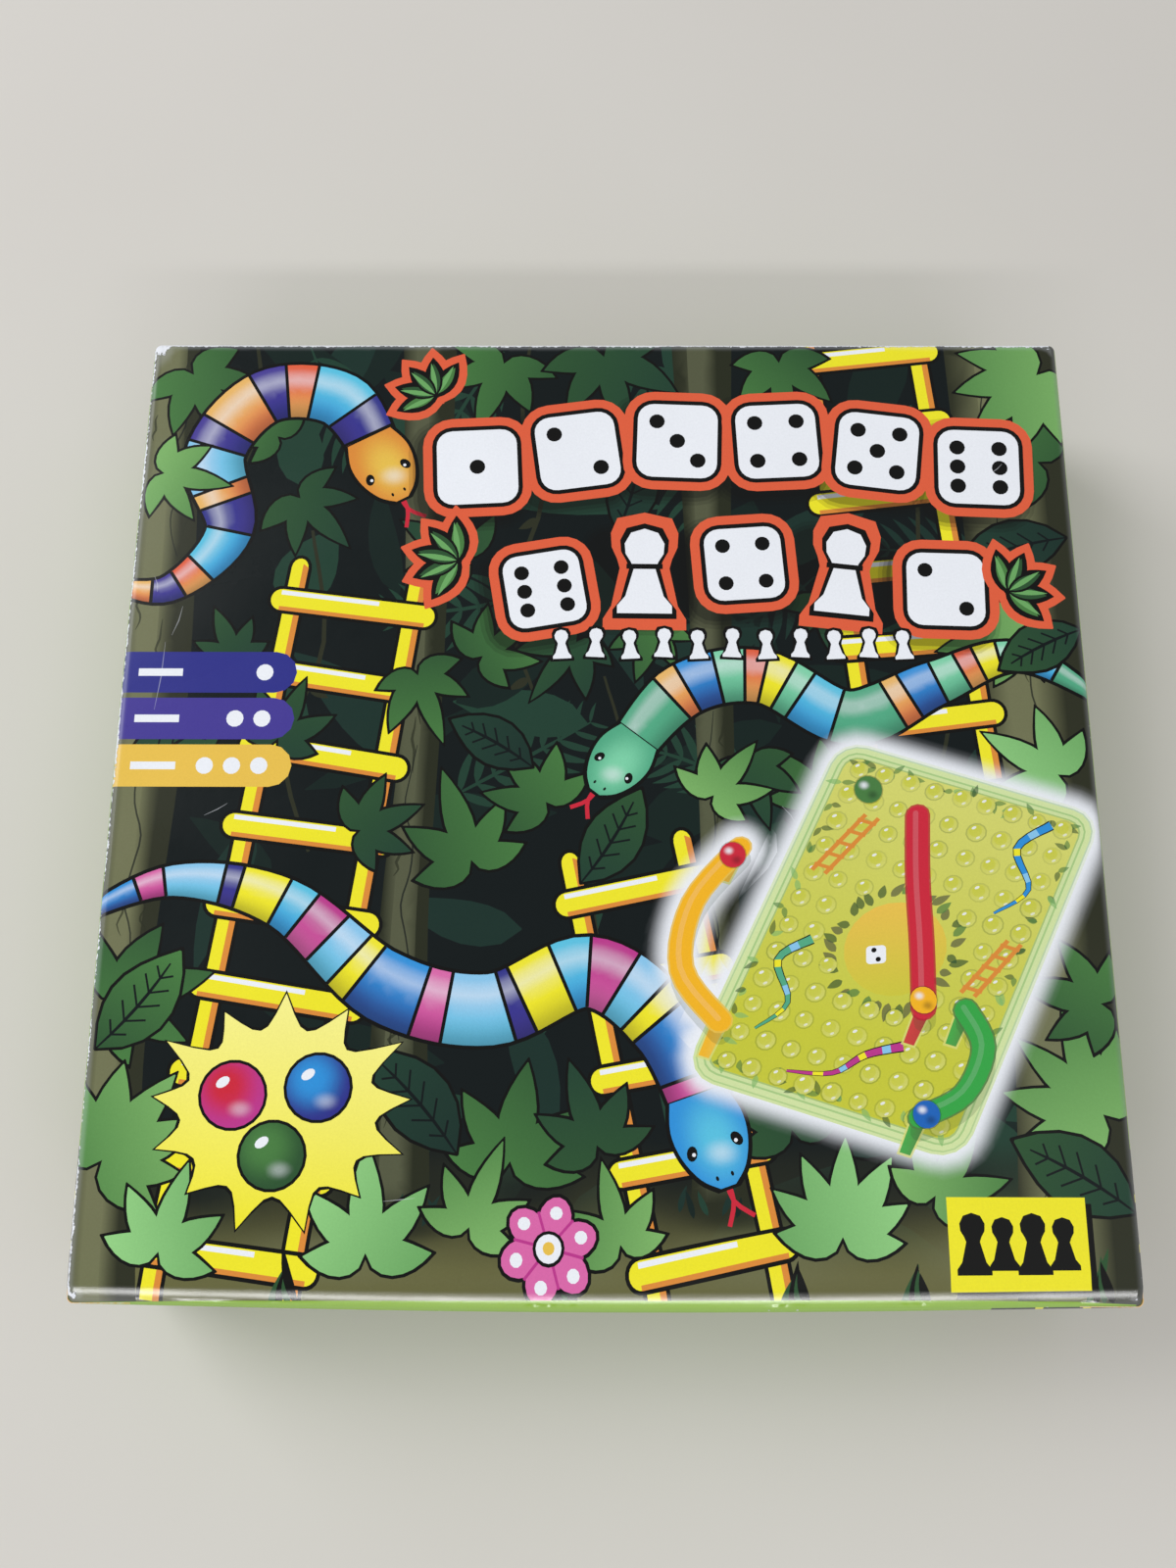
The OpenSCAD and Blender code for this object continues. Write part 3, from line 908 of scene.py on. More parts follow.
class Motifs:
    """The plants, ladders, snakes and game pieces of the printed picture."""

    PIPS = {1: (4,), 2: (0, 8), 3: (0, 4, 8), 4: (0, 2, 6, 8), 5: (0, 2, 4, 6, 8), 6: (0, 2, 3, 5, 6, 8)}
    PAWN_SIDE = (
        (0.30, -0.5), (0.30, -0.41), (0.21, -0.30), (0.12, 0.02), (0.15, 0.10),
        (0.21, 0.2), (0.22, 0.32), (0.15, 0.45), (0.0, 0.5),
    )
    HEAD_SIDE = ((-0.75, 0.80), (0.0, 1.04), (0.75, 0.98), (1.45, 0.66), (1.85, 0.22))
    SHADES = (0.85, 0.68, 0.5, 0.32, 0.16)
    EDGING = ((4.0, Ink.CORAL), (1.3, Ink.BLACK), (0.0, Ink.WHITE))

    def __init__(self, sheet: Print, seed: int) -> None:
        """Draws on a sheet, with a fixed seed for the small variations.

        Args:
            sheet: The sheet.
            seed: The seed.
        """
        self.sheet = sheet
        self.lay = sheet.lay
        self.dice = random.Random(seed)

    @staticmethod
    def stalk(root: Point, angle: float, bend: float, step: float, count: int) -> Outline:
        """A line of equal steps that turns on its way.

        Args:
            root: Its first point.
            angle: Its direction there.
            bend: How far it turns from the root to its last point.
            step: The length of a step.
            count: How many steps.

        Returns:
            Its points.
        """
        line = [root]
        for k in range(count):
            line.append(step_from(line[-1], angle + bend * k / count, step))
        return line

    def blade(
        self, root: Point, angle: float, length: float, width: float, bend: float = 0, sharp: float = 1
    ) -> Outline:
        """The outline of a pointed leaf.

        Args:
            root: Where it grows from.
            angle: Its direction there.
            length: From root to tip.
            width: At its widest.
            bend: How far it turns on its way.
            sharp: Higher puts the widest part nearer the root.

        Returns:
            The outline.
        """
        swells = [math.sin(math.pi * (k / 7) ** (1 / (1 + 0.35 * sharp))) ** 0.85 for k in range(8)]
        return ribbon(self.stalk(root, angle, bend, length / 7, 7), [width / 2 * max(0.03, s) for s in swells])

    def fan(self, root: Point, angle: float, size: float, ink: Ink, fingers: int = 5) -> None:
        """A leaf of pointed fingers that spread from one root.

        Args:
            root: Where the fingers meet.
            angle: The direction of the middle finger.
            size: The length of the longest finger.
            ink: The leaf's ink, which grows paler across it.
            fingers: How many.
        """
        spread = 3.6
        across, heart = self.dice.uniform(0, ALL_ROUND), step_from(root, angle, size * 0.35)
        ends = [step_from(heart, across, reach) for reach in (-size * 0.75, size * 0.75)]
        blades = []
        for k in range(fingers):
            t = k / (fingers - 1) - 0.5
            reach = size * (1 - 0.35 * abs(2 * t)) * self.dice.uniform(0.88, 1.06)
            blades.append((angle + t * spread, reach, size * 0.30 * self.dice.uniform(0.9, 1.15), -t * 0.9))
        for a, reach, width, bend in blades:
            self.lay(self.blade(step_from(root, a, -0.8), a, reach + 2.1, width + 1.6, bend), Ink.BLACK)
        for blade in blades:
            self.lay(self.blade(root, *blade), Fill(ink, PALER.get(ink, ink), *ends))

    def broad_leaf(self, root: Point, angle: float, length: float, width: float, ink: Ink) -> None:
        """A broad leaf with a midrib and side veins.

        Args:
            root: Where it grows from.
            angle: Its direction there.
            length: From root to tip.
            width: At its widest.
            ink: The leaf's ink, which grows paler to its tip.
        """
        bend = 0.25
        self.lay(self.blade(step_from(root, angle, -1), angle, length + 2.2, width + 1.7, bend, 0.2), Ink.BLACK)
        fill = Fill(ink, PALER.get(ink, ink), root, step_from(root, angle + bend, length))
        self.lay(self.blade(root, angle, length, width, bend, 0.2), fill)
        line = self.stalk(root, angle, bend, length * 0.145, 6)
        self.sheet.line(line, 0.9, Ink.NIGHT, 0.5)
        for k in range(1, 6):
            for side in (-1, 1):
                reach = width * 0.36 * math.sin(math.pi * (k + 0.6) / 7)
                tip = step_from(line[k], angle + bend * k / 6 + side * 0.85, reach)
                self.sheet.line([line[k], tip], 0.55, Ink.NIGHT)

    def frond(self, root: Point, angle: float, length: float, ink: Ink, bend: float) -> None:
        """A feathered frond of thin leaflets along a bent stalk.

        Args:
            root: Where it grows from.
            angle: Its direction there.
            length: From root to tip.
            ink: Its ink.
            bend: How far it turns on its way.
        """
        pairs = 9
        line = self.stalk(root, angle, bend, length / pairs, pairs)
        self.sheet.line(line, 1.1, ink, 0.6)
        for k in range(1, pairs + 1):
            size = length * 0.36 * math.sin(math.pi * (0.25 + 0.7 * k / (pairs + 1)))
            for side in (-1, 1):
                a = angle + bend * k / pairs + side * 0.95
                self.lay(self.blade(line[k], a, size, size * 0.17, -side * 0.4), ink)

    def trunk(self, left: Line, right: Line, light: Ink, dark: Ink, marks: int) -> None:
        """A tree trunk between two side lines that run upwards.

        Args:
            left: The points of its left side.
            right: The points of its right side.
            light: Its ink in the middle.
            dark: Its ink at the sides.
            marks: How many bark marks it has.
        """
        a, b = curve_through(left, 5), curve_through(right, 5)
        tones = (dark, light, light, dark, dark)
        for k in range(4):
            near, far = ([between(p, q, s / 4) for p, q in zip(a, b)] for s in (k, k + 1))
            x0, x1 = (sum(x for x, _ in edge) / len(a) for edge in (near, far))
            self.lay(near + far[::-1], Fill(tones[k], tones[k + 1], (x0, 0), (x1, 0)))
        low, high = a[0][1], a[-1][1]
        for _ in range(marks):
            t = self.dice.uniform(0.08, 0.92)
            i = int(t * (len(a) - 1))
            x, y = between(a[i], b[i], self.dice.uniform(0.15, 0.85))[0], low + (high - low) * t
            length = self.dice.uniform(6, 17)
            wave = [(x + self.dice.uniform(-0.9, 0.9), y + length * j / 5) for j in range(6)]
            width = self.dice.uniform(0.5, 0.9)
            self.sheet.line(curve_through(wave, 2), width, Fill(Ink.GROUND_DARK, veil=0.75), 0.8)

    def vine(self, points: Line, width: float = 1.3) -> None:
        """A hanging vine with a few small leaves.

        Args:
            points: The points that it passes.
            width: The width of its stalk.
        """
        line = curve_through(points, 5)
        self.sheet.line(line, width, Ink.BARK_DARK, 0.3)
        for i in range(3, len(line) - 1, 4):
            side = 1 if (i // 4) % 2 else -1
            self.lay(self.blade(line[i], -QUARTER + side * 0.9, 6.5, 2.6, side * 0.3), Ink.BARK_DARK)

    def ladder(self, foot: Point, head: Point, width: float, rungs: int, rail: float = 4.8, bar: float = 6.4) -> None:
        """A ladder of round poles, seen flat.

        Args:
            foot: The middle of its foot.
            head: The middle of its head.
            width: The length of its rungs.
            rungs: How many rungs it has.
            rail: The width of its two rails.
            bar: The width of a rung.
        """
        length, turn = math.dist(foot, head), math.atan2(head[1] - foot[1], head[0] - foot[0]) - QUARTER
        for side in (-1, 1):
            x = side * (width * 0.415 - rail / 2)
            for half, rise, ink in ((rail / 2 + 1, 1.0, Ink.BLACK), (rail / 2, 0.0, Ink.YELLOW)):
                tall = rail * 0.62 + rise
                angles = (0, 0.4, 0.8, 1.2, 1.57, 1.94, 2.34, 2.74, 3.14)
                arch = [(x + half * math.cos(a), length + tall * math.sin(a)) for a in angles]
                self.lay(on_place([(x - half, 0), (x + half, 0), *arch], foot, turn), ink)
            low, high = x + rail * 0.16, x + rail * 0.5
            shade = [(low, 0), (high, 0), (high, length + rail * 0.1), (low, length + rail * 0.3)]
            self.lay(on_place(shade, foot, turn), Ink.ORANGE)
        for k in range(rungs):
            tilt = turn + self.dice.uniform(-0.03, 0.03)
            middle = on_place([(0, length * (k + 0.55) / rungs)], foot, turn)[0]
            self.lay(rounded_box(middle, width + 2, bar + 2, (bar + 1.9) / 2, tilt, 5), Ink.BLACK)
            self.lay(rounded_box(middle, width, bar, (bar - 0.1) / 2, tilt, 5), Ink.YELLOW)
            half = width / 2 - bar * 0.42
            self.lay(on_place(block(-half, -bar * 0.5, half, -bar * 0.31), middle, tilt), Ink.ORANGE)
            self.lay(on_place(block(-half, bar * 0.24, half * 0.35, bar * 0.44), middle, tilt), Ink.WHITE)

    def snake(self, points: Line, half: float, bands: Sequence[Band], head: tuple[Ink, Ink]) -> None:
        """A banded snake, from the tip of its tail to its head.

        Args:
            points: The points that its body passes.
            half: Half its width at the thickest.
            bands: Its bands, each an ink and its relative length, repeated along the body.
            head: The light and the dark ink of its head.
        """
        line = curve_through(points, 9)
        lengths = [0.0]
        for a, b in zip(line, line[1:]):
            lengths.append(lengths[-1] + math.dist(a, b))
        total = lengths[-1]
        halves = []
        for t in (run / total for run in lengths):
            halves.append(half * min(1.0, 0.1 + 1.6 * t**0.75) * (1 - 0.22 * max(0.0, (t - 0.86) / 0.14)))
        tip, aim = line[-1], math.atan2(line[-1][1] - line[-3][1], line[-1][0] - line[-3][0])
        start = on_place([(half * 1.55, 0)], tip, aim)[0]
        for end in ((half * 1.25, half * 0.42), (half * 1.3, -half * 0.34)):
            self.sheet.line(curve_through(on_place([(0, 0), (half * 0.7, 0), end], start, aim), 3), 1.15, Ink.RED)
        self.lay(ribbon(line, [h + 1.0 for h in halves]), Ink.BLACK)
        up = 1 if line[0][0] < line[-1][0] else -1
        a, index = 0.0, 0
        while a < total:
            ink, size = bands[index % len(bands)]
            b = min(a + size * half, total)
            if b - a >= 0.5:
                marks = [a, *(r for r in lengths if a + 0.3 < r < b - 0.3), b]
                places = [self.along(line, halves, lengths, r) for r in marks]
                self.band(places, ink, up)
                if index and places[0][2] > 1.2:
                    self.sheet.line([self.aside(places[0], s) for s in (-1, 0, 1)], 0.95, Ink.BLACK)
            a, index = a + size * half, index + 1
        self.head(tip, aim, half, head)

    @staticmethod
    def aside(place: Place, share: float) -> Point:
        """The point beside a body's middle, at a share of its half width."""
        p, n, half = place
        return (p[0] + n[0] * half * share, p[1] + n[1] * half * share)

    def band(self, places: Sequence[Place], ink: Ink, up: int) -> None:
        """One band of a snake, round and lit from above.

        Args:
            places: The middle, the normal and the half width at each step along it.
            ink: Its ink, which deepens to the far side.
            up: 1 where the normals point to the light, else -1.
        """
        middle = [p for p, _, _ in places]

        def across(p: Point) -> float:
            """How far a point lies to the lit side, as a share of the half width."""
            gap, t, i = off_line(middle, p)
            return up * gap / max(places[i][2] + (places[i + 1][2] - places[i][2]) * t, 0.1)

        def at(share: float) -> Outline:
            """A line beside the middle, at a share of the half width."""
            return [self.aside(place, share) for place in places]

        whole = at(1.0) + at(-1.0)[::-1]
        self.sheet.veins.extend(at(s) for s in (-0.8, -0.55, -0.25, 0.1, 0.4, 0.65, 0.85))
        self.lay(whole, Fill(ink, DEEPER.get(ink, ink), rule=lambda p: 0.75 * soft(0.35 - 0.75 * across(p))))
        for tone, veil, rule in (
            (Ink.NIGHT, 0.5, lambda p: soft(-across(p) - 0.15)),
            (Ink.WHITE, 0.42, lambda p: soft(1 - abs(across(p) - 0.42) / 0.5)),
        ):
            self.lay(whole, Fill(tone, veil=0.0, end_veil=veil, rule=rule))

    @staticmethod
    def along(line: Outline, halves: Sequence[float], lengths: Sequence[float], run: float) -> Place:
        """The place at a distance along a body.

        Args:
            line: The body's middle line.
            halves: Half its width at each point.
            lengths: The distance of each point from the first.
            run: The distance wanted.

        Returns:
            The point, the normal and the half width there.
        """
        i = min(max(k for k, length in enumerate(lengths) if length <= run + 1e-9), len(line) - 2)
        t = (run - lengths[i]) / max(lengths[i + 1] - lengths[i], 1e-9)
        first = max(i - 1, 0)
        normals = normals_along(line[first : i + 3])[i - first :]
        half = halves[i] + (halves[i + 1] - halves[i]) * t
        return between(line[i], line[i + 1], t), between(normals[0], normals[1], t), half

    def head(self, tip: Point, aim: float, half: float, inks: tuple[Ink, Ink]) -> None:
        """A plain wedge-shaped head seen from above, with two small dark eyes and nostrils.

        Args:
            tip: Where the body ends.
            aim: Its direction there.
            half: Half the body's width.
            inks: The light and the dark ink.
        """

        def spot(x: float, y: float) -> Point:
            """A point of the head, in half widths from the body's end."""
            return on_place([(half * x, half * y)], tip, aim)[0]

        upper = curve_through([(x * half, y * half) for x, y in self.HEAD_SIDE], 4)
        outline = upper + [(x, -y) for x, y in upper[::-1]]
        wide = [(x + 0.9 * x / (2 * half), y + math.copysign(1.0, y)) for x, y in outline]
        self.lay(on_place(wide, tip, aim), Ink.BLACK)
        x, y = spot(0.55, 0.1)

        def inward(p: Point) -> float:
            """How light the head is at a point."""
            dx, dy = on_place([(p[0] - x, p[1] - y)], (0.0, 0.0), -aim)[0]
            return soft(1.12 - math.hypot(dx / (1.5 * half), dy / (1.02 * half)))

        for share in self.SHADES:
            self.sheet.vein(on_place([between((half * 0.55, half * 0.1), p, share) for p in outline], tip, aim))
        self.lay(on_place(outline, tip, aim), Fill(inks[1], inks[0], rule=inward))
        self.sheet.spot(spot(0.95, 0.12), half * 0.62, half * 0.46, Ink.WHITE, 0.45)
        for side in (-1, 1):
            self.lay(ring_points(spot(0.72, side * 0.66), half * 0.21, half * 0.15, aim + side * 0.4, 12), Ink.BLACK)
            self.lay(ring_points(spot(0.76, side * 0.62), half * 0.055, count=8), Ink.WHITE)
            self.lay(ring_points(spot(1.56, side * 0.22), half * 0.07, half * 0.045, aim, 8), Ink.BLACK)

    def tile_shadow(self, centre: Point, size: float, turn: float) -> None:
        """A soft drop shadow in three steps.

        Args:
            centre: The middle of the tile that throws it.
            size: The tile's side.
            turn: The tile's turn.
        """
        for grow, veil in ((4.2, 0.22), (3.0, 0.3), (1.8, 0.4)):
            side = size + 2 * grow + 4
            box = rounded_box(centre, side, side, size * 0.25 + grow, turn)
            self.lay(moved(box, -2.0, -2.4), Fill(Ink.BLACK, veil=veil))

    def die_tile(self, centre: Point, size: float, turn: float, pips: int) -> None:
        """A die face with a coral band about it.

        Args:
            centre: Its middle.
            size: Its side.
            turn: Its turn.
            pips: How many pips it has.
        """
        for grow, ink in self.EDGING:
            side = size + 2 * grow
            self.lay(rounded_box(centre, side, side, size * 0.2 + grow, turn, 5), ink)
        for k in self.PIPS[pips]:
            spot = on_place([((k % 3 - 1) * size * 0.26, (1 - k // 3) * size * 0.26)], centre, turn)[0]
            self.lay(ring_points(spot, size * 0.098, count=14), Ink.BLACK)

    def pawn(self, centre: Point, size: float, ink: Ink, turn: float = 0.0, wide: float = 0, tall: float = 0) -> None:
        """A plain playing pawn.

        Args:
            centre: Its middle.
            size: Its height.
            ink: Its ink.
            turn: Its turn.
            wide: How much wider each of its sides is drawn.
            tall: How much its height is stretched.
        """
        side = [(x * size + (wide if x else 0), y * (size + tall)) for x, y in self.PAWN_SIDE]
        self.lay(on_place(side + [(-x, y) for x, y in side[-2::-1]], centre, turn), ink)

    def pawn_tile(self, centre: Point, size: float, turn: float) -> None:
        """A pawn with a coral band about it.

        Args:
            centre: Its middle.
            size: Its height.
            turn: Its turn.
        """
        for grow, ink in self.EDGING:
            self.pawn(centre, size, ink, turn, grow, 2.5 * grow)
        self.lay(on_place(block(-0.2, 0.02, 0.2, 0.08), centre, turn, size), Ink.BLACK)

    def sprig(self, centre: Point, size: float, turn: float) -> None:
        """A sprig of pointed leaves with a coral band about it.

        Args:
            centre: Its middle.
            size: The reach of its leaves.
            turn: The direction of its middle leaf.
        """
        root = step_from(centre, turn, -size * 0.4)

        def leaf(angle: float, start: float, length: float, width: float, ink: Ink) -> None:
            """Lays one leaf from a start beyond the root."""
            blade = self.blade(step_from(root, turn + angle, start), turn + angle, length, width, 0, 0.3)
            self.lay(blade, ink)

        for grow, ink in ((3.4, Ink.CORAL), (0.9, Ink.BLACK)):
            for a in (-1.25, -0.62, 0.0, 0.62, 1.25):
                leaf(a, -grow, size * 0.92 + 2.3 * grow, size * 0.36 + 2 * grow, ink)
        for a in (-1.25, 1.25, -0.62, 0.62, 0.0):
            leaf(a, 0.0, size * 0.92, size * 0.36, Ink.BLACK)
            leaf(a, 0.8, size * 0.92 - 1.7, size * 0.36 - 1.4, Ink.LEAF if abs(a) > 1 else Ink.LEAF_DARK)
            inner = step_from(root, turn + a, 0.8)
            self.lay(self.blade(inner, turn + a + 0.07, size * 0.8, size * 0.12, 0, 0.3), Ink.LEAF_LIGHT)

    def burst(self, centre: Point, rx: float, ry: float, points: int) -> None:
        """A starburst with uneven rays and an ink edge.

        Args:
            centre: Its middle.
            rx: Its half width.
            ry: Its half height.
            points: How many rays.
        """
        outline, reaches = [], [self.dice.uniform(0.92, 1.08) for _ in range(points)]
        for k in range(points * 6):
            t, a = k / 6 % 1, math.pi * k / (3 * points) + 0.11
            tip = reaches[k // 6] * (1 - t) + reaches[(k // 6 + 1) % points] * t
            reach = 0.72 + (tip - 0.72) * abs(2 * t - 1) ** 2.1
            outline.append((centre[0] + math.cos(a) * rx * reach, centre[1] + math.sin(a) * ry * reach))
        x, y = centre
        self.sheet.edged(outline, Fill(Ink.YELLOW, Ink.YELLOW_PALE, (x, y - ry), (x + 6, y + ry * 1.6)), 0.9)

    def marble(self, centre: Point, radius: float, ink: Ink, shade: Ink) -> None:
        """A glossy ball with a soft shade and a glint.

        Args:
            centre: Its middle.
            radius: Its radius.
            ink: Its ink where it is lit.
            shade: Its ink at the rim.
        """
        lit = (centre[0] - radius * 0.22, centre[1] + radius * 0.28)
        self.lay(ring_points(centre, radius + 0.8, count=22), Ink.BLACK)
        for share in self.SHADES:
            self.sheet.vein(ring_points(between(lit, centre, share), radius * share, count=18))
        ball = Fill(shade, ink, rule=lambda p: soft(1.25 - math.dist(p, lit) / radius))
        self.lay(ring_points(centre, radius, count=22), ball)
        x, y = centre
        self.sheet.spot((x + radius * 0.25, y - radius * 0.42), radius * 0.5, radius * 0.34, Ink.WHITE, 0.35)
        glint = (x - radius * 0.34, y + radius * 0.4)
        self.lay(ring_points(glint, radius * 0.24, radius * 0.15, 0.6, 12), Ink.WHITE)

    def flower(self, centre: Point, size: float) -> None:
        """A round pink flower with pale dots on its petals.

        Args:
            centre: Its middle.
            size: The reach of its petals.
        """
        turns = [math.pi * k / 3 + 0.3 for k in range(6)]
        for grow, ink in ((0.9, Ink.BLACK), (0.0, Ink.PINK)):
            for a in turns:
                petal = step_from(centre, a, size * 0.55)
                self.lay(ring_points(petal, size * 0.44 + grow, size * 0.33 + grow, a, 16), ink)
        for a in turns:
            self.lay(ring_points(step_from(centre, a, size * 0.68), size * 0.13, count=10), Ink.WHITE)
            rib = [step_from(centre, a + 0.52, size * reach) for reach in (0.3, 0.72)]
            self.sheet.line(rib, 0.7, Ink.MAGENTA)
        self.sheet.edged(ring_points(centre, size * 0.26, count=16), Ink.WHITE, 0.8)
        self.lay(ring_points(centre, size * 0.12, count=12), Ink.AMBER)


@dataclass
class LidPicture:
    """The jungle scene on the lid and the plain green of its sides."""

    panel: float = 132.745
    reach: float = 66.0
    crop: float = 1.9
    bleed: float = 3.0

    def draw(self, sheet: Print) -> None:
        """Draws the whole picture.

        Args:
            sheet: The sheet that it is printed on.
        """
        self.sheet = sheet
        self.lay = sheet.lay
        self.motifs = Motifs(sheet, 11)
        self.dice = random.Random(5)
        self.undergrowth()
        self.trees()
        self.feet()
        self.ladders()
        self.middle_leaves()
        self.snakes()
        self.near_leaves()
        BoardPicture(sheet, self.motifs, self.dice).draw()
        self.dice_rows()
        self.small_motifs()
        self.sides()

    def undergrowth(self) -> None:
        """Dark blades, broad leaves and fronds far back, and the ground along the near edge."""
        m, dice = self.motifs, self.dice
        half = self.panel + self.bleed
        for _ in range(60):
            root = (dice.uniform(-130, 130), dice.uniform(-120, 128))
            ink = dice.choice((Ink.DEEP, Ink.DEEP, Ink.SHADE, Ink.BOTTLE))
            turn, length, width = dice.uniform(0, ALL_ROUND), dice.uniform(26, 58), dice.uniform(7, 17)
            self.lay(m.blade(root, turn, length, width, dice.uniform(-0.6, 0.6)), ink)
        for x, y, a, size in (
            (-30, 132, -2.2, 52), (6, 132, -1.0, 58), (-88, 134, -1.2, 44), (44, -8, 2.4, 40),
            (-44, -6, 0.5, 46), (120, 60, 2.8, 44), (-16, 58, 3.6, 46), (60, 60, 3.9, 40),
        ):
            m.frond((x, y), a, size, dice.choice((Ink.SHADE, Ink.BOTTLE)), dice.uniform(-0.7, 0.7))
        self.lay(block(-half, -half, half, -92), Fill(Ink.GROUND, Ink.GROUND_DARK, (0, -126), (0, -94), 1.0, 0.0))
        for x, w in ((-70, 64), (-8, 44), (40, 70), (96, 50)):
            self.sheet.spot((x, -123), w / 2, 9, Ink.BARK_LIGHT, 0.6)
        for x, y, w, d in (
            (-104, -108, 30, 12), (-52, -110, 34, 13), (-20, -108, 26, 12), (24, -106, 30, 12),
            (60, -109, 34, 13), (88, -104, 24, 12), (118, -104, 24, 14),
        ):
            self.sheet.spot((x, y), w, d, Ink.NIGHT, 0.85)

    def feet(self) -> None:
        """Soft ground and grass about the feet of the trunks."""
        m, dice = self.motifs, self.dice
        for x, y in ((-53, -113), (30, -110)):
            self.sheet.spot((x, y - 1), 20, 9, Ink.GROUND_DARK, 1.0)
            self.sheet.spot((x + 3, y - 2), 15, 6, Ink.GROUND_DARK, 0.9)
            for k in range(7):
                root = (x - 11 + 3.6 * k, y - 3 + dice.uniform(-1, 1))
                up, length = UP + dice.uniform(-0.5, 0.5), dice.uniform(5, 9)
                blade = m.blade(root, up, length, 1.6, dice.uniform(-0.5, 0.5))
                self.lay(blade, dice.choice((Ink.SHADE, Ink.BOTTLE, Ink.DEEP)))

    def trees(self) -> None:
        """Four trunks and the vines that hang by them."""
        m, half = self.motifs, self.panel + self.bleed
        inner, outer = (Ink.BARK, Ink.GROUND_DARK), (Ink.BARK_LIGHT, Ink.BARK_DARK)
        edge = [(half, -half), (half, -60), (half, 30), (half, half)]
        far_edge = [(-x, y) for x, y in edge]
        for left, right, inks, marks in (
            (
                [(-62, -112), (-60, -40), (-56, 30), (-60, half)], [(-44, -114), (-47, -40), (-45, 30), (-44, half)],
                inner, 9,
            ),
            ([(22, -110), (26, -30), (24, 50), (20, half)], [(37, -110), (36, -30), (36, 50), (38, half)], inner, 9),
            ([(103, -half), (107, -60), (105, 30), (101, half)], edge, outer, 15),
            (far_edge, [(-117, -half), (-120, -60), (-116, 30), (-121, half)], outer, 9),
        ):
            m.trunk(left, right, *inks, marks)
        for points, width in (
            ([(-22, half), (-24, 110), (-18, 84), (-27, 52), (-20, 26)], 1.3),
            ([(94, half), (90, 60), (97, 30), (92, 2)], 1.3),
            ([(-104, half), (-101, 112), (-106, 92)], 1.3),
            ([(-84, 74), (-79, 40), (-88, 8), (-80, -20)], 1.3),
            ([(0, 30), (6, 2), (-3, -30), (2, -60)], 1.0),
        ):
            m.vine(points, width)
        for x, low, high in (
            (-127, -60, 20), (-124, 66, 128), (120, -20, 60), (112, 70, 130), (29, -60, 20), (-53, -70, 10),
        ):
            wave = [(x + 1.5 * math.sin(k * 1.9 + x), low + (high - low) * k / 9) for k in range(10)]
            self.sheet.line(curve_through(wave, 3), 0.5, Fill(Ink.NIGHT, veil=0.8), 0.6)

    def ladders(self) -> None:
        """Three leaning ladders."""
        self.motifs.ladder((-97, -136), (-70, 60), 47, 9)
        self.motifs.ladder((92, -18), (76, 140), 45, 7)
        self.motifs.ladder((30, -136), (6, -20), 43, 5)

    def middle_leaves(self) -> None:
        """Leaves behind the snakes."""
        dark, bottle, shade = Ink.LEAF_DARK, Ink.BOTTLE, Ink.SHADE
        for x, y, a, size, ink in (
            (-122, 124, -1.0, 26, dark), (-30, 128, -1.9, 24, dark), (0, 130, -1.3, 28, bottle),
            (52, 128, -1.5, 22, dark), (126, 96, 2.7, 27, dark), (118, 44, 3.4, 24, Ink.LEAF),
            (-8, 40, -2.2, 20, bottle), (-36, -22, 1.9, 25, dark), (-24, -100, 1.4, 28, dark),
            (48, -92, 1.9, 24, bottle), (-128, -60, 0.3, 28, dark), (-40, 66, 2.6, 22, bottle),
            (-88, 84, -0.8, 21, bottle), (-96, 104, 2.4, 16, dark), (-90, 12, 1.2, 19, bottle),
            (-52, 30, -1.2, 20, dark), (-16, -6, 2.2, 22, dark), (-2, -96, 1.9, 22, bottle),
            (-104, 36, 2.0, 15, bottle), (14, 44, -1.9, 17, dark), (62, 52, -1.4, 18, bottle),
            (60, -4, 2.4, 20, dark), (-66, -14, 0.4, 19, bottle), (40, 4, -1.3, 18, bottle),
        ):
            self.motifs.fan((x, y), a, size, ink)
        for x, y, a, size, ink in (
            (-38, -98, 2.2, 34, shade), (60, -98, 0.6, 36, shade), (-132, 2, 0.5, 34, bottle),
            (-6, -28, 0.9, 30, bottle), (132, 72, 3.3, 32, shade), (-20, 4, 2.5, 26, shade),
            (4, 74, 1.2, 28, shade),
        ):
            self.motifs.broad_leaf((x, y), a, size, size * 0.5, ink)

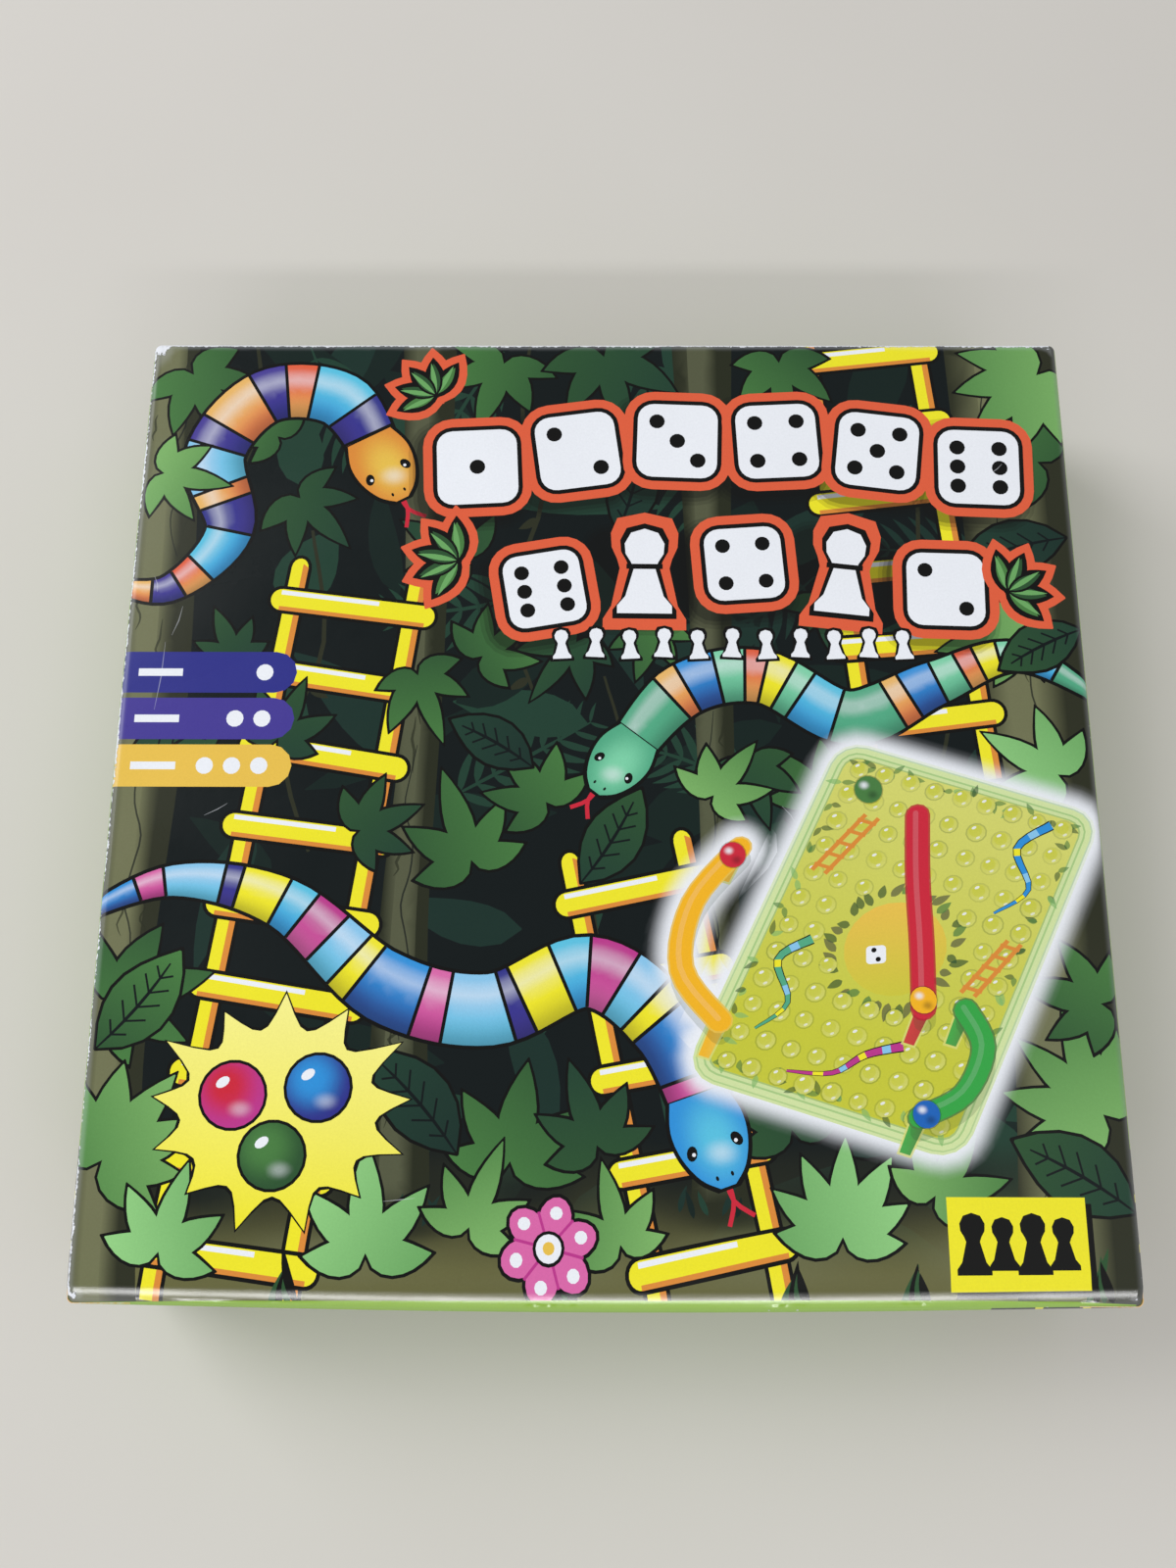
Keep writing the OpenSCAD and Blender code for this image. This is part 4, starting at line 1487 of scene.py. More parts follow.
    def snakes(self) -> None:
        """Three banded snakes, each running in from an edge of the lid."""
        m = self.motifs
        m.snake(
            [(140, 22), (116, 36), (92, 28), (68, 18), (44, 30), (22, 26), (6, 8)],
            7.6,
            [
                (Ink.JADE, 2.2), (Ink.CYAN, 1.5), (Ink.MINT, 0.7), (Ink.YELLOW, 0.8),
                (Ink.CORAL, 0.7), (Ink.MINT, 1.0), (Ink.BLUE, 1.2), (Ink.SAND, 0.7),
            ],
            (Ink.MINT, Ink.JADE),
        )
        m.snake(
            [(-142, 58), (-124, 56), (-108, 74), (-114, 98), (-100, 117), (-78, 116), (-66, 98)],
            8.6,
            [
                (Ink.SAND, 1.6), (Ink.PURPLE, 0.9), (Ink.CORAL, 0.9), (Ink.CYAN, 1.6),
                (Ink.INDIGO, 1.1), (Ink.SAND, 0.6), (Ink.SKY, 1.5), (Ink.PURPLE, 0.8),
            ],
            (Ink.AMBER, Ink.ORANGE),
        )
        m.snake(
            [(-140, -38), (-116, -28), (-86, -34), (-58, -56), (-30, -62), (-4, -52), (16, -66), (26, -90)],
            9.2,
            [
                (Ink.BLUE, 1.8), (Ink.PINK, 0.8), (Ink.SKY, 1.7), (Ink.INDIGO, 0.5), (Ink.YELLOW, 1.3),
                (Ink.CYAN, 0.8), (Ink.MAGENTA, 1.0), (Ink.SKY, 0.9), (Ink.YELLOW, 0.6),
            ],
            (Ink.CYAN, Ink.BLUE),
        )

    def near_leaves(self) -> None:
        """Bright leaves in front, thickest along the near edge and in the corners."""
        m, leaf, light, dark = self.motifs, Ink.LEAF, Ink.LEAF_LIGHT, Ink.LEAF_DARK
        for x, y, a, size, ink in (
            (-128, -100, 0.9, 30, leaf), (-112, -122, 1.3, 22, light), (-60, -122, 1.6, 25, light),
            (-34, -116, 1.2, 21, leaf), (4, -120, 1.8, 20, leaf), (60, -118, 1.5, 26, light),
            (84, -108, 1.0, 22, leaf), (128, -88, 2.4, 30, leaf), (130, -60, 2.9, 22, dark),
            (128, 124, 3.9, 30, leaf), (-128, 92, -0.2, 20, leaf), (-34, 36, 0.7, 19, dark),
            (30, -4, 0.9, 19, leaf), (124, 2, 2.6, 24, light),
        ):
            m.fan((x, y), a, size, ink, 5 if size < 26 else 7)
        for x, y, a, size, ink in (
            (-132, -72, 0.8, 32, dark), (134, -112, 2.5, 34, Ink.BOTTLE), (134, 44, 3.5, 26, Ink.BOTTLE),
        ):
            m.broad_leaf((x, y), a, size, size * 0.52, ink)
        for x in (-84, -14, 44, 74, 120):
            for k in range(4):
                grass = m.blade((x + 2.4 * k, -134), 1.0 + 0.33 * k, self.dice.uniform(8, 15), 2.4, 0.3 - 0.2 * k)
                self.lay(grass, Ink.BLACK if k % 2 else dark)

    def dice_rows(self) -> None:
        """Two arched rows of dice and pawns, and a row of small pawns under them."""
        m = self.motifs
        tiles: list[tuple[Point, float, float, int]] = []
        for k in range(6):
            t, lean = k / 5 - 0.5, 0.07 if k % 2 else -0.06
            tiles.append(((36 + t * 146, 94 + 9 * math.cos(t * 3.1)), 23.5, -0.22 * t + lean, k + 1))
        for k in range(5):
            t, lean, pips = k / 4 - 0.5, -0.06 if k % 2 else 0.07, 0 if k % 2 else 6 - k
            tiles.append(((40 + t * 114, 56 + 8 * math.cos(t * 3.1)), 22.0, -0.2 * t + lean, pips))
        for place, size, turn, _ in tiles:
            m.tile_shadow(place, size, turn)
        for place, size, turn, pips in tiles:
            if pips:
                m.die_tile(place, size, turn, pips)
        for place, size, turn, pips in tiles:
            if not pips:
                m.pawn_tile(place, size * 1.18, turn)
        for x, y, size, turn in ((-53, 121, 12.5, 2.3), (119, 58, 13, 0.5), (-47, 66, 14, 2.9)):
            m.sprig((x, y), size, turn)
        for k in range(11):
            place, turn = (-12 + 9.6 * k, 39.5 + 0.5 * (k % 2)), 0.05 * (-1) ** k
            m.pawn(place, 8.6, Ink.BLACK, turn, 0.8, 1.6)
            m.pawn(place, 8.6, Ink.WHITE, turn)

    def small_motifs(self) -> None:
        """The starburst of marbles, the plate of pawns, the tabs at the left edge and a flower."""
        m, lay = self.motifs, self.lay
        m.burst((-84, -88), 35, 29, 13)
        m.marble((-96, -84), 8.2, Ink.RED, Ink.MAGENTA)
        m.marble((-74, -82), 8.2, Ink.BLUE, Ink.INDIGO)
        m.marble((-85, -99), 8.2, Ink.LEAF, Ink.LEAF_DARK)
        plate = block(88, -132, 123, -110)
        lay(plate, Ink.BLACK)
        lay(moved(plate, -1.5, 1.5), Ink.YELLOW)
        for k in range(4):
            m.pawn((92.6 + 7.6 * k, -119.5), 12.5 if k % 2 else 14.5, Ink.BLACK)
        for y, ink, dots in ((31, Ink.INDIGO, 1), (17.5, Ink.PURPLE, 2), (4, Ink.AMBER, 3)):
            end = [step_from((-92, y), a - QUARTER, 6) for a in (0.5, 1.05, 1.57, 2.1, 2.64)]
            lay([(-137, y - 6), (-92, y - 6), *end, (-92, y + 6), (-137, y + 6)], ink)
            for k in range(dots):
                lay(ring_points((-95 - 7.5 * k, y), 2.4, count=14), Ink.WHITE)
            lay(block(-130, y - 1.1, -118, y + 1.1), Ink.WHITE)
        m.flower((-14, -121), 12.5)
        for x, y, length, a in (
            (-125, 20, 20, 1.5), (-122, 42, 9, 1.3), (-127, 55, 5, 1.8), (-109, -10, 7, 0.5),
            (52, -12, 6, 2.2), (112, 92, 5, 0.7), (-56, -110, 8, 0.1),
        ):
            end = step_from((x, y), a, length)
            scuff = [(x, y), ((x + end[0]) / 2 + 0.4, (y + end[1]) / 2), end]
            self.sheet.line(scuff, 0.28, Fill(Ink.WHITE, veil=0.30), 0.7)

    def sides(self) -> None:
        """The green sides, cut off at the fold, with a leafy band and dark printed patches."""
        a, near, far, dice = self.panel, self.crop, self.reach, self.dice
        slipped = [(118, -0.4), (92, 0.3), (50, 0.8), (-10, 0.8), (-60, 0.2), (-100, -0.6)]
        turns = [math.radians(15 * i - 90) for i in range(7)]
        for k in range(4):
            top = [(a, -a - near), (-a, -a - near)]
            if k == 0:
                top = [(a, -a - 1.4), *((x, y - a) for x, y in slipped), (-a, -a - near)]
            self.on_side(k, [(-a, -a - far), (a, -a - far), *top], Ink.LIME)
            arcs = [[step_from((a, -a), t, reach) for t in turns] for reach in (far, near)]
            self.on_side(k, arcs[0] + arcs[1][::-1], Ink.LIME)
            low = -a - 49.2
            self.on_side(k, block(-a, low, a, low + 8), Ink.LIME_SHADE)
            for i in range(24):
                root, up = (-a + 8 + i * (2 * a - 16) / 23, low + 1.5), UP + dice.uniform(-0.5, 0.5)
                leaf = self.motifs.blade(root, up, dice.uniform(7, 13), 4.6, dice.uniform(-0.5, 0.5))
                self.on_side(k, leaf, dice.choice((Ink.LEAF_DARK, Ink.LEAF, Ink.BOTTLE)))
        for side, x0, x1 in ((0, a - 36, a), (-1, a - 36, a), (1, -a, -a + 36), (2, -20, 20)):
            self.patch(side, x0, x1)

    def on_side(self, side: int, points: Line, ink: Ink) -> None:
        """Lays a shape on a side, numbered from the near one anticlockwise."""
        self.lay(on_place(points, (0, 0), QUARTER * side), ink)

    def patch(self, side: int, x0: float, x1: float) -> None:
        """A dark printed patch on a side, with a small ladder and leaves in it.

        Args:
            side: The side.
            x0: Where it starts along the side.
            x1: Where it ends.
        """
        top, low, middle = -self.panel - self.crop, -self.panel - 41.0, (x0 + x1) / 2
        self.on_side(side, block(x0, low, x1, top), Ink.NIGHT)
        for x in (middle - 6, middle + 6):
            self.on_side(side, block(x - 1, low, x + 1, top), Ink.YELLOW)
        for k in range(6):
            rung = (middle, low + 4 + k * 6.4)
            self.on_side(side, rounded_box(rung, 20.4, 4.2, 2.0, 0, 3), Ink.BLACK)
            self.on_side(side, rounded_box(rung, 19, 2.8, 1.35, 0, 3), Ink.YELLOW)
        for x, up, size in ((x0 + 6, 1.2, 14), (x1 - 7, 1.9, 15), (x0 + 9, 2.2, 10)):
            self.on_side(side, self.motifs.blade((x, low + 2), up, size, size * 0.36, 0.3), Ink.LEAF)


@dataclass
class BoardPicture:
    """A picture of the playing board with its chutes and balls, in a soft white glow."""

    sheet: Print
    motifs: Motifs
    dice: random.Random
    centre: Point = (78.0, -44.0)
    turn: float = -0.30
    lean: float = 0.16
    w: float = 74.0
    d: float = 100.0
    corner: float = 8.0
    glow_reach: float = 6.6
    pen: float = 3.3

    def __post_init__(self) -> None:
        """Works out the line of the curved chute that lies beside the board."""
        edge = -self.w / 2
        self.outer = curve_through([(edge + 3, -34), (edge - 12, -24), (edge - 17, -6), (edge - 12, 12)], 5)

    def on(self, points: Line) -> Outline:
        """Points of the upright board, leant and turned to its place on the lid."""
        return on_place([(x + self.lean * y, y) for x, y in points], self.centre, self.turn)

    def lay(self, points: Line, fill: Fill | Ink) -> None:
        """Lays a shape of the upright board on the lid."""
        self.sheet.lay(self.on(points), fill)

    def graded(self, ink: Ink, to: Ink, start: Point, end: Point, veil: float = 1.0) -> Fill:
        """A fill graded between two points of the upright board."""
        return Fill(ink, to, *self.on([start, end]), veil)

    def plate(self, grow: float) -> Outline:
        """The board's outline, wider by a distance all round."""
        return rounded_box((0, 0), self.w + 2 * grow, self.d + 2 * grow, self.corner + grow)

    def draw(self) -> None:
        """Draws the board and what lies on it."""
        self.glow()
        self.frame()
        self.leaves()
        self.dish()
        self.dimples()
        self.snakes()
        self.ladders()
        self.chutes()
        self.ball((-24, 38), 3.8, Ink.LEAF)

    def glow(self) -> None:
        """The white glow about the board and the chute beside it."""
        edge, pen = self.on(self.plate(0)), self.on(self.outer)
        edge.append(edge[0])

        def glowing(p: Point) -> float:
            """How white the glow is at a point."""
            board, chute = -off_line(edge, p)[0], abs(off_line(pen, p)[0]) - self.pen
            return soft(1 - min(max(0.0, board), max(0.0, chute)) / self.glow_reach) ** 1.25

        glow = Fill(Ink.WHITE, veil=0.0, end_veil=0.97, rule=glowing)
        for grow in (self.glow_reach, 5.4, 4.3, 3.3, 2.4, 1.5, 0.7):
            for ring in (self.on(self.plate(grow)), self.on(round_ended(self.outer, self.pen + grow))):
                self.sheet.vein(ring)
                if grow == self.glow_reach:
                    self.sheet.lay(ring, glow)
        left = -self.w / 2 - 26
        rows = [[(left, -44 + 2 * k), (left + 22, -44 + 2 * k)] for k in range(36)]
        columns = [[(left + 1.6 * k, -44), (left + 1.6 * k, 26)] for k in range(15)]
        self.sheet.veins.extend(self.on(line) for line in rows + columns)

    def frame(self) -> None:
        """The clear green frame with its steps, and the printed field in it."""
        self.lay(self.plate(0), self.graded(Ink.RIM, Ink.WHITE, (0, -self.d / 2), (0, self.d)))
        for inset, ink, veil in (
            (0.7, Ink.LEAF_PALE, 0.45), (1.1, Ink.RIM, 1.0), (2.5, Ink.LEAF_PALE, 0.6),
            (3.0, Ink.RIM, 0.9), (3.9, Ink.LIME_SHADE, 0.5),
        ):
            self.lay(self.plate(-inset), Fill(ink, veil=veil))
        field_fill = self.graded(Ink.FIELD, Ink.FIELD_PALE, (10, -30), (-6, 66))
        self.lay(rounded_box((0, 0), self.w - 8.6, self.d - 8.6, 4), field_fill)

    def leaves(self) -> None:
        """Small leaves along the field's edge and about the dish."""
        dice, blade = self.dice, self.motifs.blade
        for k in range(46):
            a = 2 * math.pi * k / 46
            x, y = (max(-1, min(1, 1.35 * v)) for v in (math.cos(a), math.sin(a)))
            for _ in range(2):
                root = ((self.w / 2 - 5.6) * x, (self.d / 2 - 5.6) * y)
                leaf = blade(root, dice.uniform(0, ALL_ROUND), dice.uniform(2.4, 4.4), 1.5)
                self.lay(leaf, Fill(dice.choice((Ink.LEAF, Ink.LEAF_DARK, Ink.LEAF_PALE)), veil=0.7))
        for k in range(34):
            a = 2 * math.pi * k / 34
            root = step_from((0, -2), a, dice.uniform(13, 15.5))
            leaf = blade(root, a + dice.uniform(-0.9, 0.9), dice.uniform(3, 5.5), 2.2)
            self.lay(leaf, Fill(dice.choice((Ink.LEAF_DARK, Ink.BARK, Ink.LEAF)), veil=0.8))

    def dish(self) -> None:
        """The round dish in the middle, with the die in it."""
        self.lay(ring_points((0, -2), 13, count=24), self.graded(Ink.AMBER, Ink.FIELD, (-6, 8), (8, -18)))
        self.lay(rounded_box((-4, -5), 5.0, 5.0, 1, 0.4), Ink.WHITE)
        for spot in ((-5, -4), (-3, -6)):
            self.lay(ring_points(spot, 0.7, count=8), Ink.BLACK)

    def dimples(self) -> None:
        """The see-through dimples: each a thin dark rim, a paler middle and two glints."""
        dice = self.dice
        for i in range(9):
            for j in range(12):
                x, y = (i - 4) * 7.1, (j - 5.5) * 7.8
                if math.hypot(x, y + 2) < 17:
                    continue
                x, y, r = x + dice.uniform(-0.3, 0.3), y + dice.uniform(-0.3, 0.3), dice.uniform(2.5, 3.0)
                self.lay(ring_points((x, y), r, count=12), Fill(Ink.LEAF_DARK, veil=dice.uniform(0.16, 0.36)))
                middle = self.graded(Ink.FIELD, Ink.FIELD_PALE, (x - r, y + r), (x + r, y - r), 0.9)
                self.lay(ring_points((x, y), r * 0.85, count=12), middle)
                floor = (x - r * 0.12, y + r * 0.12)
                self.lay(ring_points(floor, r * 0.6, count=10), Fill(Ink.FIELD, veil=0.6))
                for dx, dy, w, d, veil in ((0.34, -0.44, 0.22, 0.12, 0.55), (-0.38, 0.4, 0.24, 0.14, 0.85)):
                    glint = ring_points((x + r * dx, y + r * dy), r * w, r * d, 0.8, 8)
                    self.lay(glint, Fill(Ink.WHITE, veil=veil))

    def snakes(self) -> None:
        """Three small snakes printed on the field."""
        for points, ink in (
            ([(25, 43), (19, 34), (26, 24), (20, 15)], Ink.BLUE),
            ([(-21, -6), (-27, -14), (-20, -24), (-25, -33)], Ink.JADE),
            ([(12, -26), (4, -31), (-2, -38), (-13, -41)], Ink.MAGENTA),
        ):
            line = curve_through(points, 5)
            shares = [i / len(line) for i in range(len(line))]
            inner = [1.15 - 0.95 * s for s in shares]
            self.lay(ribbon(line, [1.5 - 1.2 * s for s in shares]), Ink.BLACK)
            self.lay(ribbon(line, inner), ink)
            for i in range(2, len(line) - 4, 3):
                self.lay(ribbon(line[i : i + 2], inner[i : i + 2]), Ink.YELLOW if i % 2 else Ink.SKY)

    def ladders(self) -> None:
        """Two small ladders printed on the field."""
        for foot, head in (((-27, 12), (-20, 31)), ((22, -8), (28, 9))):
            for side in (-1.8, 1.8):
                self.lay(ribbon(moved([foot, head], side, 0), [0.6, 0.6]), Ink.ORANGE)
            for k in range(5):
                x, y = between(foot, head, (k + 0.5) / 5)
                self.lay(block(x - 2.6, y - 0.5, x + 2.6, y + 0.5), Ink.ORANGE)

    def chutes(self) -> None:
        """The three chutes on their posts, each with a ball in it."""
        edge = self.w / 2
        green = curve_through([(edge - 14, -12), (edge - 6, -20), (edge - 6, -33), (edge - 14, -42)], 5)
        red = curve_through([(-9, 35), (-2, 18), (6, 1), (13, -15)], 5)
        for line, feet, dark, light, ball in (
            (green, (0, -1), Ink.LEAF, Ink.PLASTIC_GREEN, Ink.PLASTIC_BLUE),
            (red, (-1,), Ink.CRIMSON, Ink.RED, Ink.PLASTIC_YELLOW),
            (self.outer, (0, -1), Ink.AMBER, Ink.PLASTIC_YELLOW, Ink.RED),
        ):
            for x, y in (line[i] for i in feet):
                rim = [(x - 2.4, y), (x + 2.4, y), (x + 1.9, y - 10.6), (x - 1.9, y - 10.6)]
                self.lay(rim, Fill(Ink.FIELD_PALE, veil=0.8))
                post = [(x - 1.9, y), (x + 1.9, y), (x + 1.4, y - 10), (x - 1.4, y - 10)]
                self.lay(post, self.graded(light, dark, (x - 1.8, y), (x + 1.8, y), 0.95))
            self.lay(moved(round_ended(line, 2.8), 1.6, -3.2), Fill(Ink.LEAF_DARK, veil=0.28))
            self.lay(round_ended(line, self.pen), Fill(dark, veil=0.9))
            self.lay(round_ended(line, 2.8), light)
            self.lay(moved(round_ended(line, 0.7), -0.7, 0.5), Fill(Ink.WHITE, veil=0.08))
            self.ball(line[-2], 3.5, ball)

    def ball(self, spot: Point, radius: float, ink: Ink) -> None:
        """A small shaded ball with a glint.

        Args:
            spot: Its middle on the upright board.
            radius: Its radius.
            ink: Its ink.
        """
        x, y = self.on([spot])[0]
        self.sheet.lay(ring_points((x, y), radius * 1.08, count=18), Fill(Ink.NIGHT, veil=0.45))
        self.sheet.lay(ring_points((x, y), radius, count=18), ink)
        self.sheet.spot((x + radius * 0.3, y - radius * 0.4), radius * 0.6, radius * 0.5, Ink.NIGHT, 0.5)
        self.sheet.spot((x - radius * 0.3, y + radius * 0.32), radius * 0.5, radius * 0.42, Ink.WHITE, 0.9)


@dataclass
class SoftLid:
    """How the used lid gives: its near side bows out and its near edge has slumped."""

    half: float = 135.0
    bow: float = 2.2
    press: float = 0.34
    roll: float = 0.06
    strip_start: float = 130.3
    strip: float = 2.9
    slump: float = 0.28
    slump_middle: float = 1.2
    left_bow: float = 0.7
    dent: float = 0.45
    dent_place: Point = (-28.0, 128.0)
    dent_size: Point = (8.5, 5.0)

    def shift(self, p: Vector) -> Vector:
        """Moves a point of the lid, in millimetres.

        Args:
            p: The point as the box is drawn.

        Returns:
            The point as the used lid has it.
        """
        x, y, z = p
        span, side = (max(0.0, 1 - (c / self.half) ** 2) ** 1.3 for c in (x, y))
        height = 0.55 + 0.45 * soft((z - 3) / 34) - 0.25 * soft((z - 40) / 12)
        across = min(1.0, max(0.0, (-y - self.strip_start) / self.strip))
        rolled = self.strip * (self.press * across + self.roll * across * (across - 1))
        drop = self.slump * (1 + self.slump_middle * span) * soft((-y - 126) / 4) + rolled
        dx = -self.left_bow * side * height * soft((-x - 120) / 14)
        dy = -self.bow * span * height * soft((-y - 118) / 16)
        (cx, cy), (rx, ry) = self.dent_place, self.dent_size
        dent = self.dent * math.exp(-(((x - cx) / rx) ** 2) - ((y - cy) / ry) ** 2)
        return Vector((x + dx, y + dy, z - drop * soft((z - 20) / 30) - dent * soft((z - 45) / 5)))


@dataclass
class FoldedCover:
    """Printed paper folded over the lid's four sides and turned in over its open edge."""

    half: float = 134.995
    top: float = 52.0
    edge: float = 3.0
    fold: float = 2.25
    paper: float = 0.25
    turn_in: float = 2.1
    lip: float = 0.6
    hem: float = 15.0
    corner_parts: int = 6
    give: SoftLid = field(default_factory=SoftLid)

    CORNERS = ((1, 1), (-1, 1), (-1, -1), (1, -1))
    NEAR_CUTS = (-132.0, -131.2, -130.6, -130.3, -130.0, -129.2, -128.2, -127.0, -125.5, -122.0, -118.0)
    LEFT_CUTS = (-130.0, -127.0, -124.0, -121.0)
    DENT_CUTS = (116.0, 120.0, 124.0, 128.0)

    def __post_init__(self) -> None:
        """Works out where the folds lie on the flat sheet."""
        self.flat = self.half - self.fold
        self.marks = [0.0]
        for run in (
            self.fold * QUARTER,
            self.top - self.fold - self.edge - self.lip,
            self.lip * QUARTER,
            self.turn_in - 2 * self.lip,
            self.lip * QUARTER,
            self.hem - self.lip,
        ):
            self.marks.append(self.marks[-1] + run)
        self.reach = self.marks[-1]

    def profile(self, s: float, depth: float) -> tuple[float, float]:
        """Where the paper is, at a distance s beyond the top panel.

        Args:
            s: The distance along the paper.
            depth: How far under its printed face.

        Returns:
            The distance outwards from the panel's edge, and the height.
        """
        m, fold, lip, low = self.marks, self.fold, self.lip, self.edge + self.lip
        if s <= m[1]:
            a = s / fold
            return (fold - depth) * math.sin(a), self.top - fold + (fold - depth) * math.cos(a)
        if s <= m[2]:
            return fold - depth, self.top - fold - (s - m[1])
        if s <= m[3]:
            a = (s - m[2]) / lip
            return fold - lip + (lip - depth) * math.cos(a), low - (lip - depth) * math.sin(a)
        if s <= m[4]:
            return fold - lip - (s - m[3]), self.edge + depth
        if s <= m[5]:
            a = (s - m[4]) / lip
            return fold - self.turn_in + lip - (lip - depth) * math.sin(a), low - (lip - depth) * math.cos(a)
        return fold - self.turn_in + depth, low + (s - m[5])

    def on_panel(self, p: Point) -> Point:
        """The point of the top panel that lies nearest to a point of the flat sheet."""
        return tuple(max(-self.flat, min(self.flat, c)) for c in p)

    def place(self, p: Point, depth: float = 0.0) -> Vector:
        """Where a point of the flat sheet lies on the lid, in millimetres.

        Args:
            p: A point of the flat sheet.
            depth: How far under its printed face.

        Returns:
            The point on the used lid.
        """
        inner = self.on_panel(p)
        s = math.dist(p, inner)
        if s < 1e-9:
            return self.give.shift(Vector((*p, self.top - depth)))
        out, z = self.profile(min(s, self.reach), depth)
        return self.give.shift(Vector((*between(inner, p, out / s), z)))

    def normal(self, p: Point) -> Vector:
        """The printed face's outward normal.

        Args:
            p: A point of the flat sheet.

        Returns:
            The unit normal.
        """
        (u, v), e = p, 0.04
        across = self.place((u + e, v)) - self.place((u - e, v))
        found = across.cross(self.place((u, v + e)) - self.place((u, v - e)))
        return found.normalized() if found.length > 1e-9 else Vector((0, 0, 1))

    def arc(self, corner: int, s: float) -> Outline:
        """An arc about one corner of the panel, from its first side to its second.

        Args:
            corner: The corner's number.
            s: The arc's radius.

        Returns:
            Its points.
        """
        cx, cy = (c * self.flat for c in self.CORNERS[corner])
        parts = range(self.corner_parts + 1)
        return [step_from((cx, cy), QUARTER * corner + QUARTER * k / self.corner_parts, s) for k in parts]

    def stations(self) -> list[float]:
        """The lines at which the sheet is cut along the folds.

        Returns:
            Their distances from the panel.
        """
        q, m = self.marks[1], self.marks
        found = [-1.6, *(q * t for t in (0, 0.25, 0.5, 0.75, 1)), q + 2.0]
        found += [m[1] + (m[2] - m[1]) * t for t in (0.2, 0.45, 0.7, 0.95)]
        for i in (2, 4):
            found += [m[i], (m[i] + m[i + 1]) / 2, m[i + 1]]
        return found + [m[5] + 5.0]

    def sheet(self) -> Print:
        """Cuts out the blank.

        Returns:
            The blank in its ground ink, with a guide along every fold.
        """
        a, every = self.flat, [float(x) for x in range(-130, 131, 10)]
        sheet = Print([p for corner in range(4) for p in self.arc(corner, self.reach)], Fill(Ink.NIGHT))
        guides = sheet.guides
        for s in self.stations():
            ends = a if s > 0 else a + s
            line = [(x, -a - s) for x in (-ends, *(x for x in every if abs(x) < ends), ends)]
            guides.extend(on_place(line, (0, 0), QUARTER * k) for k in range(4))
            if s > 0:
                guides.extend(self.arc(corner, s) for corner in range(4))
        for corner, (cx, cy) in enumerate(self.CORNERS):
            guides.extend([(cx * a, cy * a), end] for end in self.arc(corner, self.reach))
        for x in every:
            guides.append([(x, -a - self.reach), (x, -112.0)])
            guides.append([(-a - self.reach, x), (-116.0, x)])
        guides.extend([(-a, y), (a, y)] for y in self.NEAR_CUTS)
        guides.extend([(x, -a), (x, a)] for x in self.LEFT_CUTS)
        guides.extend([(-48.0 + 5 * k, 113.0), (-48.0 + 5 * k, a)] for k in range(9))
        guides.extend([(-48.0, y), (-8.0, y)] for y in self.DENT_CUTS)
        return sheet

    def wear(self, p: Point) -> float:
        """How rubbed the paper is, and how much highlight is painted as white paper along the back fold.

        Args:
            p: A point of the flat sheet.

        Returns:
            The wear, from 0 to 1.
        """
        u, v = p
        s = math.dist(p, self.on_panel(p)) or -min(self.flat - abs(u), self.flat - abs(v))
        middle = self.marks[1] / 2
        near = max(0.0, 1 - abs(s - middle) / (middle + 1.0))
        back = v > self.flat - 2 and abs(u) <= self.flat
        left = u < 2 - self.flat and abs(v) <= self.flat
        # The back fold's larger share paints a white highlight line along it, besides its rubbing.
        amount = near * (0.68 if back else 0.54 if left else 0.38)
        for (x, y), r, strength in zip(self.CORNERS, (2.2, 6.0, 3.5, 2.2), (0.46, 0.78, 0.66, 0.50)):
            distance = math.dist(p, (x * self.flat, y * self.flat))
            amount = max(amount, strength * max(0.0, 1 - distance / r))
        return max(amount, 0.45 * max(0.0, 1 - abs(s - self.marks[3]) / 2.0))

    def crease(self, p: Point) -> float:
        """How much a point lies on the pressed, polished strip of the near edge.

        Args:
            p: A point of the flat sheet.

        Returns:
            The share, from 0 to 1.
        """
        u, v = p
        inside = soft((-v - 130.1) / 0.35) * (1 - soft((-v - self.flat - 0.9) / 0.8))
        uneven = 0.86 + 0.14 * math.sin(u * 0.21) * math.sin(u * 0.047)
        return inside * (1 - soft((abs(u) - self.flat - 0.5) / 1.2)) * uneven

    def bake_place(self, p: Point) -> Point:
        """The point's place on the picture's UV map, most of which the top takes.

        Args:
            p: A point of the flat sheet.

        Returns:
            The place, from 0 to 1 each way.
        """
        inner, outer = self.flat + self.marks[1], self.flat + self.reach
        found = []
        for c in p:
            beyond = 0.0995 * (abs(c) - inner) / (outer - inner)
            found.append(0.5 + (0.4 * c / inner if beyond <= 0 else math.copysign(0.4 + beyond, c)))
        return tuple(found)

